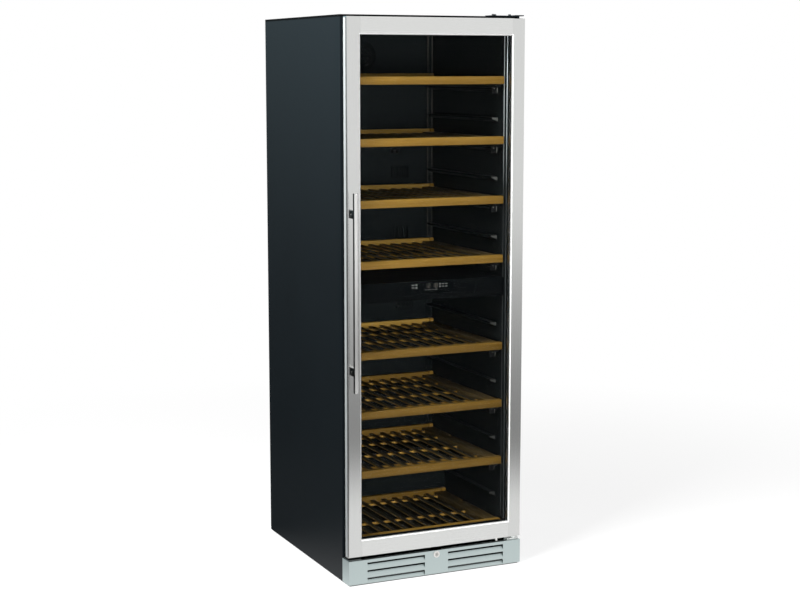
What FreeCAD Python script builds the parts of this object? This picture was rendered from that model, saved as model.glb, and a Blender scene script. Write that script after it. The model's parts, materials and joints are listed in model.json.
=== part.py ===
import FreeCAD
import Part
import Sketcher
import os
from types import SimpleNamespace

# Free-standing wine display cabinet with a glass door hinged on its right side, eight slatted
# shelves, a divider between two temperature zones and the cooling machinery in its base.
# Frame: +X to the right, +Y to the back, +Z up. The origin is under the middle of the whole
# cabinet, handle included, on the floor. All lengths are millimetres.

SIZES = {
    # Overall
    "cabinet_width": 595.0,
    "cabinet_depth": 688.0,
    "cabinet_height": 1727.0,
    "foot_clearance": 4.0,
    "overrun": 10.0,
    "slide_clearance": 0.3,
    "running_clearance": 0.05,
    # Casing
    "casing_sheet": 1.0,
    "top_rim": 7.0,
    "rear_flange": 20.0,
    "base_height": 12.0,
    "base_sheet": 1.5,
    "casing_floor_height": 85.0,
    "sill_drop": 8.0,
    "machine_depth": 189.0,
    "machine_height": 264.0,
    # Liner and insulation
    "liner_sheet": 2.0,
    "side_insulation": 32.5,
    "floor_insulation": 21.0,
    "ceiling_insulation": 33.0,
    "step_insulation": 23.0,
    "back_insulation": 66.0,
    "duct_depth": 40.0,
    "duct_sheet": 2.0,
    # Duct covers
    "corner_rib_width": 5.0,
    "corner_rib_depth": 3.0,
    "corner_rib_inset": 8.0,
    "corner_rib_pitch": 12.0,
    "vent_slot_width": 5.0,
    "vent_slot_height": 41.0,
    "vent_slot_pitch": 10.0,
    "sensor_hole": 5.0,
    "sensor_hole_pitch": 22.0,
    "sensor_slot_width": 34.0,
    "sensor_slot_height": 10.0,
    # Zone fans and evaporators
    "grille_diameter": 100.0,
    "grille_ring": 5.0,
    "grille_spoke": 6.0,
    "upper_fan_drop": 77.0,
    "lower_fan_rise": 160.0,
    "fan_diameter": 90.0,
    "fan_depth": 18.0,
    "fan_hub_diameter": 34.0,
    "fan_gap": 5.0,
    "blade_chord": 20.0,
    "blade_sheet": 2.0,
    "shaft_diameter": 5.0,
    "shaft_reach": 13.0,
    "motor_diameter": 38.0,
    "motor_gap": 1.0,
    "evaporator_depth": 30.0,
    "evaporator_side_gap": 112.0,
    "evaporator_fan_gap": 30.0,
    "evaporator_vent_gap": 28.0,
    "fin_slot": 8.0,
    "fin_slot_depth": 20.0,
    # Shelf ledges and divider
    "first_shelf_drop": 140.4,
    "last_shelf_rise": 48.2,
    "ledge_reach": 22.0,
    "ledge_height": 14.0,
    "ledge_tip": 5.0,
    "ledge_setback": 51.0,
    "ledge_end_gap": 0.5,
    "divider_height": 57.0,
    "control_panel_side_gap": 7.0,
    "control_panel_height": 39.0,
    "control_panel_sheet": 4.0,
    "control_panel_lip": 3.0,
    # Shelves
    "shelf_setback": 57.0,
    "shelf_side_gap": 5.0,
    "shelf_bar_height": 24.0,
    "shelf_bar_depth": 20.0,
    "shelf_rail_width": 44.0,
    "shelf_rail_step": 3.0,
    "runner_width": 21.0,
    "runner_height": 11.0,
    "runner_stop_width": 20.5,
    "runner_stop_drop": 19.0,
    "runner_stop_sheet": 6.0,
    "runner_stop_gap": 0.5,
    "rear_bar_depth": 16.0,
    "rear_bar_rise": 7.0,
    "rear_bar_gap": 3.0,
    "rear_block_width": 13.0,
    "shelf_back_gap": 2.0,
    "slat_width": 16.0,
    "slat_sheet": 5.0,
    "slat_step": 5.0,
    "batten_width": 12.0,
    "batten_height": 8.0,
    # Door
    "door_depth": 52.0,
    "door_steel_depth": 26.6,
    "door_gap_bottom": 10.7,
    "stile_width": 44.5,
    "top_rail_height": 52.3,
    "bottom_rail_height": 54.5,
    "door_sheet": 1.5,
    "door_edge_radius": 4.0,
    "window_bevel": 4.0,
    "window_lip": 5.0,
    "glass_sheet": 4.0,
    "glass_space": 8.0,
    "glass_cover": 18.5,
    "spacer_inset": 5.0,
    "spacer_width": 8.0,
    "inner_frame_inset": 6.0,
    "inner_frame_lip": 3.0,
    "inner_frame_depth": 8.0,
    "glass_edge_gap": 0.5,
    "gasket_inset": 16.5,
    "gasket_sink": 1.0,
    "gasket_gap": 0.3,
    # Handle
    "handle_diameter": 16.0,
    "handle_standoff": 38.0,
    "handle_length": 599.0,
    "handle_inset": 10.0,
    "handle_edge": 1.5,
    "post_width": 12.0,
    "post_height": 25.0,
    "post_end_inset": 63.0,
    "post_saddle_gap": 0.1,
    # Hinges
    "pin_inset": 16.0,
    "pin_setback": 18.0,
    "pin_diameter": 8.0,
    "pin_engagement": 18.0,
    "bush_diameter": 16.0,
    "bush_length": 20.0,
    "bush_seat_gap": 0.1,
    "bracket_sheet": 3.0,
    "top_bracket_length": 92.0,
    "top_bracket_depth": 30.0,
    "top_bracket_setback": 4.0,
    "bracket_side_inset": 2.5,
    "bracket_arm_half": 13.5,
    "bracket_nose": 12.0,
    "bottom_bracket_length": 41.0,
    "bottom_bracket_gap": 1.5,
    "bracket_flange_length": 29.0,
    "bracket_flange_drop": 30.0,
    "washer_diameter": 16.0,
    "corner_plate_gap": 0.2,
    "screw_head_diameter": 9.0,
    "screw_head_height": 2.2,
    "screw_diameter": 4.0,
    "screw_hole_gap": 0.2,
    # Kick plate and lock
    "kick_height": 75.0,
    "kick_sheet": 1.5,
    "kick_fold": 12.0,
    "louvre_inset": 40.0,
    "louvre_end_margin": 61.5,
    "louvre_pitch": 24.0,
    "louvre_top": 65.5,
    "louvre_height": 17.0,
    "louvre_slot": 7.5,
    "louvre_depth": 7.0,
    "louvre_sheet": 1.2,
    "lock_height": 62.5,
    "lock_flange_diameter": 22.0,
    "lock_flange_height": 2.5,
    "lock_barrel_diameter": 17.0,
    "lock_barrel_length": 18.0,
    "lock_core_diameter": 12.0,
    "lock_seat_gap": 0.1,
    "keyway_width": 2.0,
    "keyway_height": 7.0,
    "keyway_depth": 6.0,
    "cam_length": 33.0,
    "cam_width": 12.0,
    "cam_sheet": 3.0,
    "keeper_length": 60.0,
    "keeper_width": 14.0,
    "keeper_sheet": 1.5,
    "keeper_slot_ahead": 27.0,
    "keeper_slot_behind": 9.0,
    "keeper_slot_width": 7.0,
    "keeper_pocket_rise": 12.0,
    # Machine compartment
    "compressor_diameter": 140.0,
    "compressor_shell": 128.0,
    "compressor_dome": 36.0,
    "compressor_crown": 96.0,
    "compressor_plate": 8.0,
    "compressor_plate_length": 170.0,
    "compressor_plate_width": 120.0,
    "drain_pan_length": 150.0,
    "drain_pan_width": 140.0,
    "drain_pan_height": 24.0,
    "drain_pan_sheet": 2.0,
    "condenser_length": 112.0,
    "condenser_width": 150.0,
    "condenser_height": 220.0,
    "foot_nut_gap": 8.0,
    "condenser_slot": 6.0,
    "condenser_slot_depth": 100.0,
    "condenser_fan_diameter": 150.0,
    "condenser_fan_height": 130.0,
    "condenser_fan_gap": 12.0,
    "motor_length": 28.0,
    "motor_foot_width": 24.0,
    "rear_slot_height": 6.0,
    "rear_slot_pitch": 18.0,
    "rear_slot_margin": 60.0,
    "rear_slot_first": 120.0,
    "gland_diameter": 22.0,
    "gland_flange_diameter": 30.0,
    "gland_flange_sheet": 3.0,
    "gland_length": 14.0,
    "gland_bore": 8.0,
    "gland_inset": 97.5,
    "gland_height": 60.0,
    "gland_seat_gap": 0.2,
    # Feet
    "foot_pad_diameter": 40.0,
    "foot_pad_height": 6.0,
    "foot_neck_diameter": 24.0,
    "foot_stem_diameter": 10.0,
    "foot_stem_top": 44.0,
    "foot_nut_diameter": 18.0,
    "foot_nut_height": 10.0,
    "foot_inset": 52.5,
    "front_foot_inset": 43.0,
    "rear_foot_inset": 48.0,
}

# Counts, and the shares that place what repeats along a piece.
UPPER_LEVELS = ["shelf", "empty", "shelf", "empty", "shelf", "empty", "shelf"]
LOWER_LEVELS = ["empty", "shelf", "empty", "shelf", "empty", "shelf", "empty"]
LEDGE_LEVELS = UPPER_LEVELS + ["divider"] + LOWER_LEVELS
SHELF_LEVELS = [level for level, use in enumerate(LEDGE_LEVELS) if use == "shelf"]
DIVIDER_LEVEL = LEDGE_LEVELS.index("divider")
SLATS = 10
VENT_SLOTS = 7
SENSOR_HOLES = 3
FAN_BLADES = 7
BLADE_PITCH_ANGLE = 35.0
GRILLE_RINGS = 4
FIN_SLOTS = 18
LOUVRES = 3
REAR_SLOTS = 6
CONDENSER_SLOTS = 9
shelf_batten_shares = (0.14, 0.45, 0.76, 0.97)
floor_shelf_batten_shares = (0.40, 0.96)
top_screw_shares = ((0.18, 0.30), (0.32, 0.75), (0.85, 0.55))
flange_screw_shares = (0.3, 0.75)
back_screw_shares = (0.1, 0.5, 0.9)
grille_screw_shares = (0.15, 0.85)
handle_share = 0.5016
upper_vent_share = 0.525
lower_vent_share = 0.592
sensor_share = 0.592
sensor_slot_share = 0.466
high_vent_level_share = 0.396
middle_vent_level_share = 0.129
low_vent_level_share = 0.855
sensor_level_share = 0.727
sensor_slot_level_share = 0.487
lower_evaporator_share = 0.7

doc = FreeCAD.newDocument("wine_display_cabinet")


class Size:
    """A length worked out from the sheet: its value, and the text that binds it to the cells."""

    def __init__(self, text, value):
        self.text = text
        self.value = value

    def __add__(self, other):
        other = to_size(other)
        return Size(f"({self.text} + {other.text})", self.value + other.value)

    def __sub__(self, other):
        other = to_size(other)
        return Size(f"({self.text} - {other.text})", self.value - other.value)

    def __mul__(self, ratio):
        return Size(f"({self.text} * {ratio!r})", self.value * ratio)

    def __truediv__(self, ratio):
        return Size(f"({self.text} / {ratio!r})", self.value / ratio)

    def __neg__(self):
        return Size(f"(0 - {self.text})", -self.value)


def to_size(value):
    """A size as it is, or zero made into one."""
    if isinstance(value, Size):
        return value
    return Size(repr(value), value)


def fill_sheet():
    """Writes the driving dimensions to the sheet and returns them by name."""
    sheet = doc.addObject("Spreadsheet::Sheet", "Sizes")
    for row, (alias, value) in enumerate(SIZES.items(), start=1):
        sheet.set(f"A{row}", alias)
        sheet.set(f"B{row}", str(value))
        sheet.setAlias(f"B{row}", alias)
    doc.recompute()
    named = {alias: Size(f"Sizes.{alias}", value) for alias, value in SIZES.items()}
    return SimpleNamespace(**named)


S = fill_sheet()
NODES = []


def node(label, piece):
    """Keeps a finished sub-part under its own label."""
    piece.Label = label
    NODES.append(piece)
    return piece


def bind(piece, sizes):
    """Binds a piece's properties to the sheet."""
    for name, size in sizes.items():
        piece.setExpression(name, to_size(size).text)


def place(piece, x, y, z):
    """Binds a piece's position."""
    bind(piece, {"Placement.Base.x": x, "Placement.Base.y": y, "Placement.Base.z": z})
    return piece


def turn(piece, axis, angle):
    """Turns a piece about one of its own axes before it is placed."""
    piece.Placement = FreeCAD.Placement(FreeCAD.Vector(), FreeCAD.Rotation(FreeCAD.Vector(*axis), angle))
    return piece


AXIS_TURNS = {"x": ((0, 1, 0), 90.0), "y": ((1, 0, 0), -90.0), "z": ((0, 0, 1), 0.0)}


def span(x0, x1, y0, y1, z0, z1):
    """A box between two corners."""
    piece = doc.addObject("Part::Box", "block")
    x0, y0, z0 = to_size(x0), to_size(y0), to_size(z0)
    bind(piece, {"Length": to_size(x1) - x0, "Width": to_size(y1) - y0, "Height": to_size(z1) - z0})
    return place(piece, x0, y0, z0)


def side_span(side, inner, outer, y0, y1, z0, z1):
    """A box on one side of the cabinet, between two distances from its middle plane."""
    if side > 0:
        return span(inner, outer, y0, y1, z0, z1)
    return span(-outer, -inner, y0, y1, z0, z1)


def across(half, y0, y1, z0, z1):
    """A box that lies evenly across the middle plane."""
    return span(-half, half, y0, y1, z0, z1)


def rod(axis, x, y, z, diameter, length):
    """A cylinder that starts at a point and runs along an axis."""
    piece = doc.addObject("Part::Cylinder", "rod")
    bind(piece, {"Radius": to_size(diameter) / 2, "Height": length})
    turn(piece, *AXIS_TURNS[axis])
    return place(piece, x, y, z)


def taper(axis, x, y, z, first, last, length):
    """A cone frustum that starts at a point and runs along an axis."""
    piece = doc.addObject("Part::Cone", "taper")
    bind(piece, {"Radius1": first / 2, "Radius2": last / 2, "Height": length})
    turn(piece, *AXIS_TURNS[axis])
    return place(piece, x, y, z)


def wedge(near, far, depth):
    """A frustum along local Y, from one X and Z rectangle to another."""
    piece = doc.addObject("Part::Wedge", "wedge")
    names = (("Xmin", "Xmax", "Zmin", "Zmax"), ("X2min", "X2max", "Z2min", "Z2max"))
    bind(piece, {"Ymin": Size("0", 0), "Ymax": depth})
    for keys, values in zip(names, (near, far)):
        bind(piece, dict(zip(keys, values)))
    return piece


def fuse(*pieces):
    """Pieces joined into one solid."""
    if len(pieces) == 1:
        return pieces[0]
    joined = doc.addObject("Part::MultiFuse", "joined")
    joined.Shapes = list(pieces)
    return joined


def group(*pieces):
    """Separate solids kept together."""
    kept = doc.addObject("Part::Compound", "kept")
    kept.Links = list(pieces)
    return kept


def cut(base, *tools):
    """A piece with others taken away."""
    piece = doc.addObject("Part::Cut", "cut")
    piece.Base = base
    piece.Tool = fuse(*tools)
    return piece


def ring(half_out, half_in, y0, y1, z_out, z_in):
    """A flat rectangular ring round the window, between two depths."""
    outer = across(half_out, y0, y1, *z_out)
    return cut(outer, across(half_in, y0 - S.overrun, y1 + S.overrun, *z_in))


def share_along(first, last, share):
    """A point between two others."""
    return first + (last - first) * share


def deep(distance):
    """The place of a plane behind the door's front face."""
    return door_front + distance


def up(height):
    """The place of a level above the kick plate's lower edge."""
    return S.foot_clearance + height


# Main planes of the cabinet
half = S.cabinet_width / 2
front_reach = S.handle_standoff + S.handle_diameter / 2
back_reach = S.cabinet_depth + S.screw_head_height
door_front = (front_reach - back_reach) / 2
casing_front = deep(S.door_depth)
casing_inside = casing_front + S.casing_sheet
back = deep(S.cabinet_depth)
panel_back = back - S.casing_sheet
flange_back = panel_back - S.casing_sheet
bottom = up(Size("0", 0))
top = up(S.cabinet_height)
rim = top - S.top_rim
wall_inside = half - S.casing_sheet
opening_half = wall_inside - S.side_insulation
liner_half = opening_half - S.liner_sheet

# Levels and depths of the liner and the machine compartment
casing_floor = up(S.casing_floor_height)
casing_floor_top = casing_floor + S.casing_sheet
liner_floor_low = casing_floor_top + S.floor_insulation
liner_floor = liner_floor_low + S.liner_sheet
liner_roof = rim - S.ceiling_insulation
ceiling = liner_roof - S.liner_sheet
machine_front = back - S.machine_depth
machine_roof = up(S.machine_height)
step_front = machine_front - S.casing_sheet - S.step_insulation - S.liner_sheet
step_low = machine_roof + S.casing_sheet + S.step_insulation
step_top = step_low + S.liner_sheet
liner_back = panel_back - S.back_insulation - S.liner_sheet
duct_front = liner_back - S.duct_depth - S.duct_sheet
duct_back = duct_front + S.duct_sheet
machine_middle = (machine_front + panel_back) / 2
foot_half = half - S.foot_inset
machine_half = foot_half - S.foot_nut_diameter / 2 - S.foot_nut_gap

# Door planes and window edges
door_bottom = up(S.kick_height) + S.door_gap_bottom
door_top = rim
window_half = half - S.stile_width
window_low = door_bottom + S.bottom_rail_height
window_high = door_top - S.top_rail_height
steel_back = deep(S.door_steel_depth)
glass_front_face = deep(S.window_lip)
glass_pitch = S.glass_sheet + S.glass_space
glass_back = glass_front_face + glass_pitch * 2 + S.glass_sheet
glass_half = window_half + S.glass_cover
glass_low = window_low - S.glass_cover
glass_high = window_high + S.glass_cover
inner_frame_back = glass_back + S.inner_frame_depth
pin_x = half - S.pin_inset
pin_y = deep(S.pin_setback)

# Levels of the shelves, ledges and fans
shelf_front = deep(S.shelf_setback)
shelf_half = liner_half - S.shelf_side_gap
ledge_front = shelf_front + S.ledge_setback
first_shelf = ceiling - S.first_shelf_drop
last_shelf = step_top + S.last_shelf_rise
level_pitch = (first_shelf - last_shelf) / SHELF_LEVELS[-1]
upper_fan_level = ceiling - S.upper_fan_drop
lower_fan_level = step_top + S.lower_fan_rise


def shelf_top(level):
    """Top of the front bar of a shelf on one of the ledge levels."""
    return first_shelf - level_pitch * level


def ledge_top(level):
    """Top of the ledges on one level."""
    return shelf_top(level) - S.shelf_bar_height - S.runner_height - S.slide_clearance


divider_low = ledge_top(DIVIDER_LEVEL)
divider_top = divider_low + S.divider_height
high_vents = share_along(divider_top, ceiling, high_vent_level_share)
middle_vents = share_along(divider_top, ceiling, middle_vent_level_share)
low_vents = share_along(step_top, divider_low, low_vent_level_share)


class Screw:
    """A pan-head screw and the hole it passes through, both along Y or Z."""

    def __init__(self, axis, sign, x, y, z, reach):
        self.axis = axis
        self.sign = sign
        self.point = {"x": x, "y": y, "z": z}
        self.reach = reach

    def _rod(self, diameter, start, length):
        point = dict(self.point)
        low = start if self.sign > 0 else -(start + length)
        point[self.axis] = point[self.axis] + low
        return rod(self.axis, point["x"], point["y"], point["z"], diameter, length)

    def solid(self):
        """Head above its seat and shank below it."""
        head = self._rod(S.screw_head_diameter, Size("0", 0), S.screw_head_height)
        shank = self._rod(S.screw_diameter, -self.reach, self.reach)
        return fuse(head, shank)

    def hole(self):
        """Clearance hole through what the screw holds."""
        width = S.screw_diameter + S.screw_hole_gap * 2
        return self._rod(width, -(self.reach + S.overrun), self.reach + S.overrun * 2)


# Screws of the hinges, the corner plate and the back
bracket_right = half - S.bracket_side_inset
top_bracket_left = bracket_right - S.top_bracket_length
top_bracket_front = casing_front + S.top_bracket_setback
top_bracket_back = top_bracket_front + S.top_bracket_depth
flange_left = bracket_right - S.bracket_flange_length
flange_top = up(S.kick_height)
flange_low = flange_top - S.bracket_flange_drop
flange_face = casing_front - S.bracket_sheet
top_screws = [
    Screw(
        "z",
        1,
        share_along(top_bracket_left, bracket_right, along),
        share_along(top_bracket_front, top_bracket_back, into),
        top + S.bracket_sheet,
        S.bracket_sheet + S.casing_sheet,
    )
    for along, into in top_screw_shares
]


def flange_screws(side):
    """The two screws that hold a lower bracket to the casing's front flange."""
    middle = (flange_left + bracket_right) / 2
    x = middle if side > 0 else -middle
    reach = S.bracket_sheet + S.casing_sheet
    levels = [share_along(flange_low, flange_top, share) for share in flange_screw_shares]
    return [Screw("y", -1, x, flange_face, level, reach) for level in levels]


def rear_screws(side, low, high, shares):
    """Screws down one edge of a rear panel."""
    x = half - S.rear_flange / 2
    x = x if side > 0 else -x
    reach = S.casing_sheet * 2
    return [Screw("y", 1, x, back, share_along(low, high, share), reach) for share in shares]


SIDES = (-1, 1)
lower_screws = {side: flange_screws(side) for side in SIDES}
back_low = machine_roof + S.casing_sheet
base_low = up(S.base_height)
base_top = base_low + S.base_sheet
gland_x = S.gland_inset - half
back_screws = {side: rear_screws(side, back_low, rim, back_screw_shares) for side in SIDES}
grille_screws = {side: rear_screws(side, base_low, back_low, grille_screw_shares) for side in SIDES}


def holes(*screw_lists):
    """Clearance holes of several lists of screws."""
    return [screw.hole() for screws in screw_lists for screw in screws]


def build_casing():
    """Side panels, top panel, back panel, base pan, stepped casing floor and rear grille."""
    for side, name in zip(SIDES, ("side_panel_left", "side_panel_right")):
        wall = side_span(side, wall_inside, half, casing_front, panel_back, bottom, rim)
        lip = side_span(side, opening_half, wall_inside, casing_front, casing_inside, bottom, rim)
        flange_in = half - S.rear_flange
        flange = side_span(side, flange_in, wall_inside, flange_back, panel_back, bottom, rim)
        drilled = holes(lower_screws[side], back_screws[side], grille_screws[side])
        node(name, cut(fuse(wall, lip, flange), *drilled))

    cap = across(half, casing_front, back, rim, top)
    hollow = across(wall_inside, casing_inside, panel_back, rim - S.overrun, top - S.casing_sheet)
    header = across(opening_half, casing_front, casing_inside, liner_roof, rim)
    node("top_panel", cut(fuse(cut(cap, hollow), header), *holes(top_screws)))

    sheet = across(half, panel_back, back, back_low, rim)
    node("back_panel", cut(sheet, *holes(back_screws[-1], back_screws[1])))

    sill = across(opening_half, casing_front, casing_inside, casing_floor - S.sill_drop, liner_floor_low)
    floor = across(wall_inside, casing_inside, machine_front, casing_floor, casing_floor_top)
    riser_front = machine_front - S.casing_sheet
    riser = across(liner_half, riser_front, machine_front, casing_floor_top, machine_roof)
    roof = across(liner_half, riser_front, panel_back, machine_roof, back_low)
    node("cabinet_floor", group(sill, floor, riser, roof))

    pan = across(wall_inside, casing_inside, flange_back, base_low, base_top)
    rise = S.base_sheet + S.foot_nut_height
    nuts = [rod("z", x, y, base_low, S.foot_nut_diameter, rise) for x, y in FEET]
    bore = S.foot_stem_diameter + S.slide_clearance * 2
    bores = [rod("z", x, y, base_low - S.overrun, bore, rise + S.overrun * 2) for x, y in FEET]
    node("base_pan", cut(fuse(pan, *nuts), *bores))

    slot_half = half - S.rear_slot_margin
    sheet = across(half, panel_back, back, base_low, back_low)
    slots = []
    for row in range(REAR_SLOTS):
        low = up(S.rear_slot_first) + S.rear_slot_pitch * row
        high = low + S.rear_slot_height
        slots.append(across(slot_half, panel_back - S.overrun, back + S.overrun, low, high))
    seat = S.gland_diameter + S.gland_seat_gap * 2
    through = S.casing_sheet + S.overrun * 2
    slots.append(rod("y", gland_x, panel_back - S.overrun, up(S.gland_height), seat, through))
    node("rear_grille", cut(sheet, *slots, *holes(grille_screws[-1], grille_screws[1])))


def build_liner():
    """Liner walls, floor with its step, ceiling and back, and the insulation round them."""
    for side, name in zip(SIDES, ("liner_left", "liner_right")):
        wall = side_span(side, liner_half, opening_half, casing_front, liner_back, liner_floor, ceiling)
        node(name, wall)
    floor = across(opening_half, casing_front, step_front + S.liner_sheet, liner_floor_low, liner_floor)
    riser = across(liner_half, step_front, step_front + S.liner_sheet, liner_floor, step_low)
    tread = across(liner_half, step_front, liner_back, step_low, step_top)
    node("liner_floor", group(floor, riser, tread))
    node("liner_ceiling", across(opening_half, casing_front, liner_back, ceiling, liner_roof))
    liner_rear = liner_back + S.liner_sheet
    node("liner_back", across(opening_half, liner_back, liner_rear, step_low, liner_roof))

    slabs = [
        side_span(side, opening_half, wall_inside, casing_inside, flange_back, casing_floor_top, rim)
        for side in SIDES
    ]
    step_rear = step_front + S.liner_sheet
    riser_front = machine_front - S.casing_sheet
    slabs.append(across(opening_half, casing_inside, step_rear, casing_floor_top, liner_floor_low))
    slabs.append(across(liner_half, step_rear, riser_front, casing_floor_top, step_low))
    slabs.append(across(liner_half, riser_front, liner_back, back_low, step_low))
    slabs.append(across(opening_half, liner_rear, panel_back, back_low, rim))
    slabs.append(across(opening_half, casing_inside, liner_rear, liner_roof, rim))
    node("insulation", group(*slabs))


def ledge(side, level):
    """One ledge on a side wall, flat above and sloping below, cut short where it meets the step."""
    reach_back = duct_front - S.corner_rib_depth
    if (ledge_top(level) - S.ledge_height).value < step_top.value:
        reach_back = step_front
    length = reach_back - S.ledge_end_gap - ledge_front
    start, end = (Size("0", 0), length) if side > 0 else (-length, Size("0", 0))
    near = (start, end, -S.ledge_height, Size("0", 0))
    far = (start, end, -S.ledge_tip, Size("0", 0))
    piece = turn(wedge(near, far, S.ledge_reach), (0, 0, 1), 90.0 * side)
    x = liner_half if side > 0 else -liner_half
    return place(piece, x, ledge_front, ledge_top(level))


def build_ledges_and_divider():
    """Ledges on every level, the zone divider and the control panel on its front."""
    levels = range(len(LEDGE_LEVELS))
    node("shelf_ledges", group(*[ledge(side, level) for side in SIDES for level in levels]))
    divider_front = shelf_front + S.control_panel_sheet
    node("zone_divider", across(liner_half, divider_front, liner_back, divider_low, divider_top))
    panel_top = divider_top + S.control_panel_lip
    panel_half = liner_half - S.control_panel_side_gap
    panel_low = panel_top - S.control_panel_height
    node("control_panel", across(panel_half, shelf_front, divider_front, panel_low, panel_top))


def vent_group(offset, level):
    """A row of upright slots through a duct cover, centred at a level."""
    slots = []
    y0 = duct_front - S.overrun
    y1 = duct_back + S.overrun
    first = offset - S.vent_slot_pitch * ((VENT_SLOTS - 1) / 2)
    for index in range(VENT_SLOTS):
        middle = first + S.vent_slot_pitch * index
        x0 = middle - S.vent_slot_width / 2
        low = level - S.vent_slot_height / 2
        slots.append(span(x0, x0 + S.vent_slot_width, y0, y1, low, low + S.vent_slot_height))
    return slots


def grille_gaps(level):
    """The ring-shaped gaps of a round fan grille, crossed by two spokes."""
    y0 = duct_front - S.overrun
    length = S.duct_sheet + S.overrun * 2
    pitch = S.grille_diameter / (2 * GRILLE_RINGS)
    gaps = []
    for index in range(GRILLE_RINGS):
        outer = (pitch * (index + 1)) * 2
        inner = (pitch * index) * 2 + S.grille_ring * 2
        gap = cut(rod("y", 0, y0, level, outer, length), rod("y", 0, y0, level, inner, length))
        gaps.append(gap)
    reach = S.grille_diameter / 2 + S.overrun
    thick = S.grille_spoke / 2
    upright = across(thick, y0, y0 + length, level - reach, level + reach)
    level_spoke = across(reach, y0, y0 + length, level - thick, level + thick)
    return [cut(group(*gaps), upright, level_spoke)]


def corner_ribs(low, high):
    """Two upright ribs beside each corner of a duct cover."""
    ribs = []
    y0 = duct_front - S.corner_rib_depth
    for side in SIDES:
        for index in range(2):
            outer = liner_half - S.corner_rib_inset - S.corner_rib_pitch * index
            ribs.append(side_span(side, outer - S.corner_rib_width, outer, y0, duct_front, low, high))
    return ribs


def build_ducts():
    """The two duct covers with their vents, grilles and sensor openings."""
    y0 = duct_front - S.overrun
    length = S.duct_sheet + S.overrun * 2
    gaps = []
    for level in (high_vents, middle_vents):
        for side in SIDES:
            gaps += vent_group(liner_half * (upper_vent_share * side), level)
    first = liner_half * sensor_share - S.sensor_hole_pitch * ((SENSOR_HOLES - 1) / 2)
    sensor_level = share_along(divider_top, ceiling, sensor_level_share)
    for index in range(SENSOR_HOLES):
        x = first + S.sensor_hole_pitch * index
        gaps.append(rod("y", x, y0, sensor_level, S.sensor_hole, length))
    slot_left = liner_half * sensor_slot_share - S.sensor_slot_width / 2
    slot_right = slot_left + S.sensor_slot_width
    slot_middle = share_along(divider_top, ceiling, sensor_slot_level_share)
    slot_low = slot_middle - S.sensor_slot_height / 2
    slot_high = slot_low + S.sensor_slot_height
    gaps.append(span(slot_left, slot_right, y0, y0 + length, slot_low, slot_high))
    plate = across(liner_half, duct_front, duct_back, divider_top, ceiling)
    ribbed = fuse(plate, *corner_ribs(divider_top, ceiling))
    node("upper_duct_cover", cut(ribbed, *gaps, *grille_gaps(upper_fan_level)))

    gaps = []
    for side in SIDES:
        gaps += vent_group(liner_half * (lower_vent_share * side), low_vents)
    plate = across(liner_half, duct_front, duct_back, step_top, divider_low)
    ribbed = fuse(plate, *corner_ribs(step_top, divider_low))
    node("lower_duct_cover", cut(ribbed, *gaps, *grille_gaps(lower_fan_level)))


def rotor(diameter):
    """A fan wheel about local Z: hub with a blind shaft bore, and pitched blades."""
    hub = rod("z", 0, 0, 0, S.fan_hub_diameter, S.fan_depth)
    blades = []
    for index in range(FAN_BLADES):
        blade = doc.addObject("Part::Box", "blade")
        root = S.fan_hub_diameter / 4
        bind(blade, {"Length": diameter / 2 - root, "Width": S.blade_chord, "Height": S.blade_sheet})
        corner = (root, -S.blade_chord / 2, -S.blade_sheet / 2)
        place(blade, *corner)
        pitched = turn(fuse(blade, blade_root()), (1, 0, 0), BLADE_PITCH_ANGLE)
        bind(pitched, {"Placement.Base.z": S.fan_depth / 2})
        blades.append(turn(group(pitched), (0, 0, 1), 360.0 * index / FAN_BLADES))
    bore = S.shaft_diameter + S.running_clearance * 2
    bore_start = S.fan_depth - S.shaft_reach
    return cut(fuse(hub, *blades), rod("z", 0, 0, bore_start, bore, S.shaft_reach + S.overrun))


def blade_root():
    """The short spar that ties a blade to the hub."""
    root = S.fan_hub_diameter / 4
    return span(root, S.fan_hub_diameter / 2, -S.blade_sheet, S.blade_sheet, -S.blade_sheet, S.blade_sheet)


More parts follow.
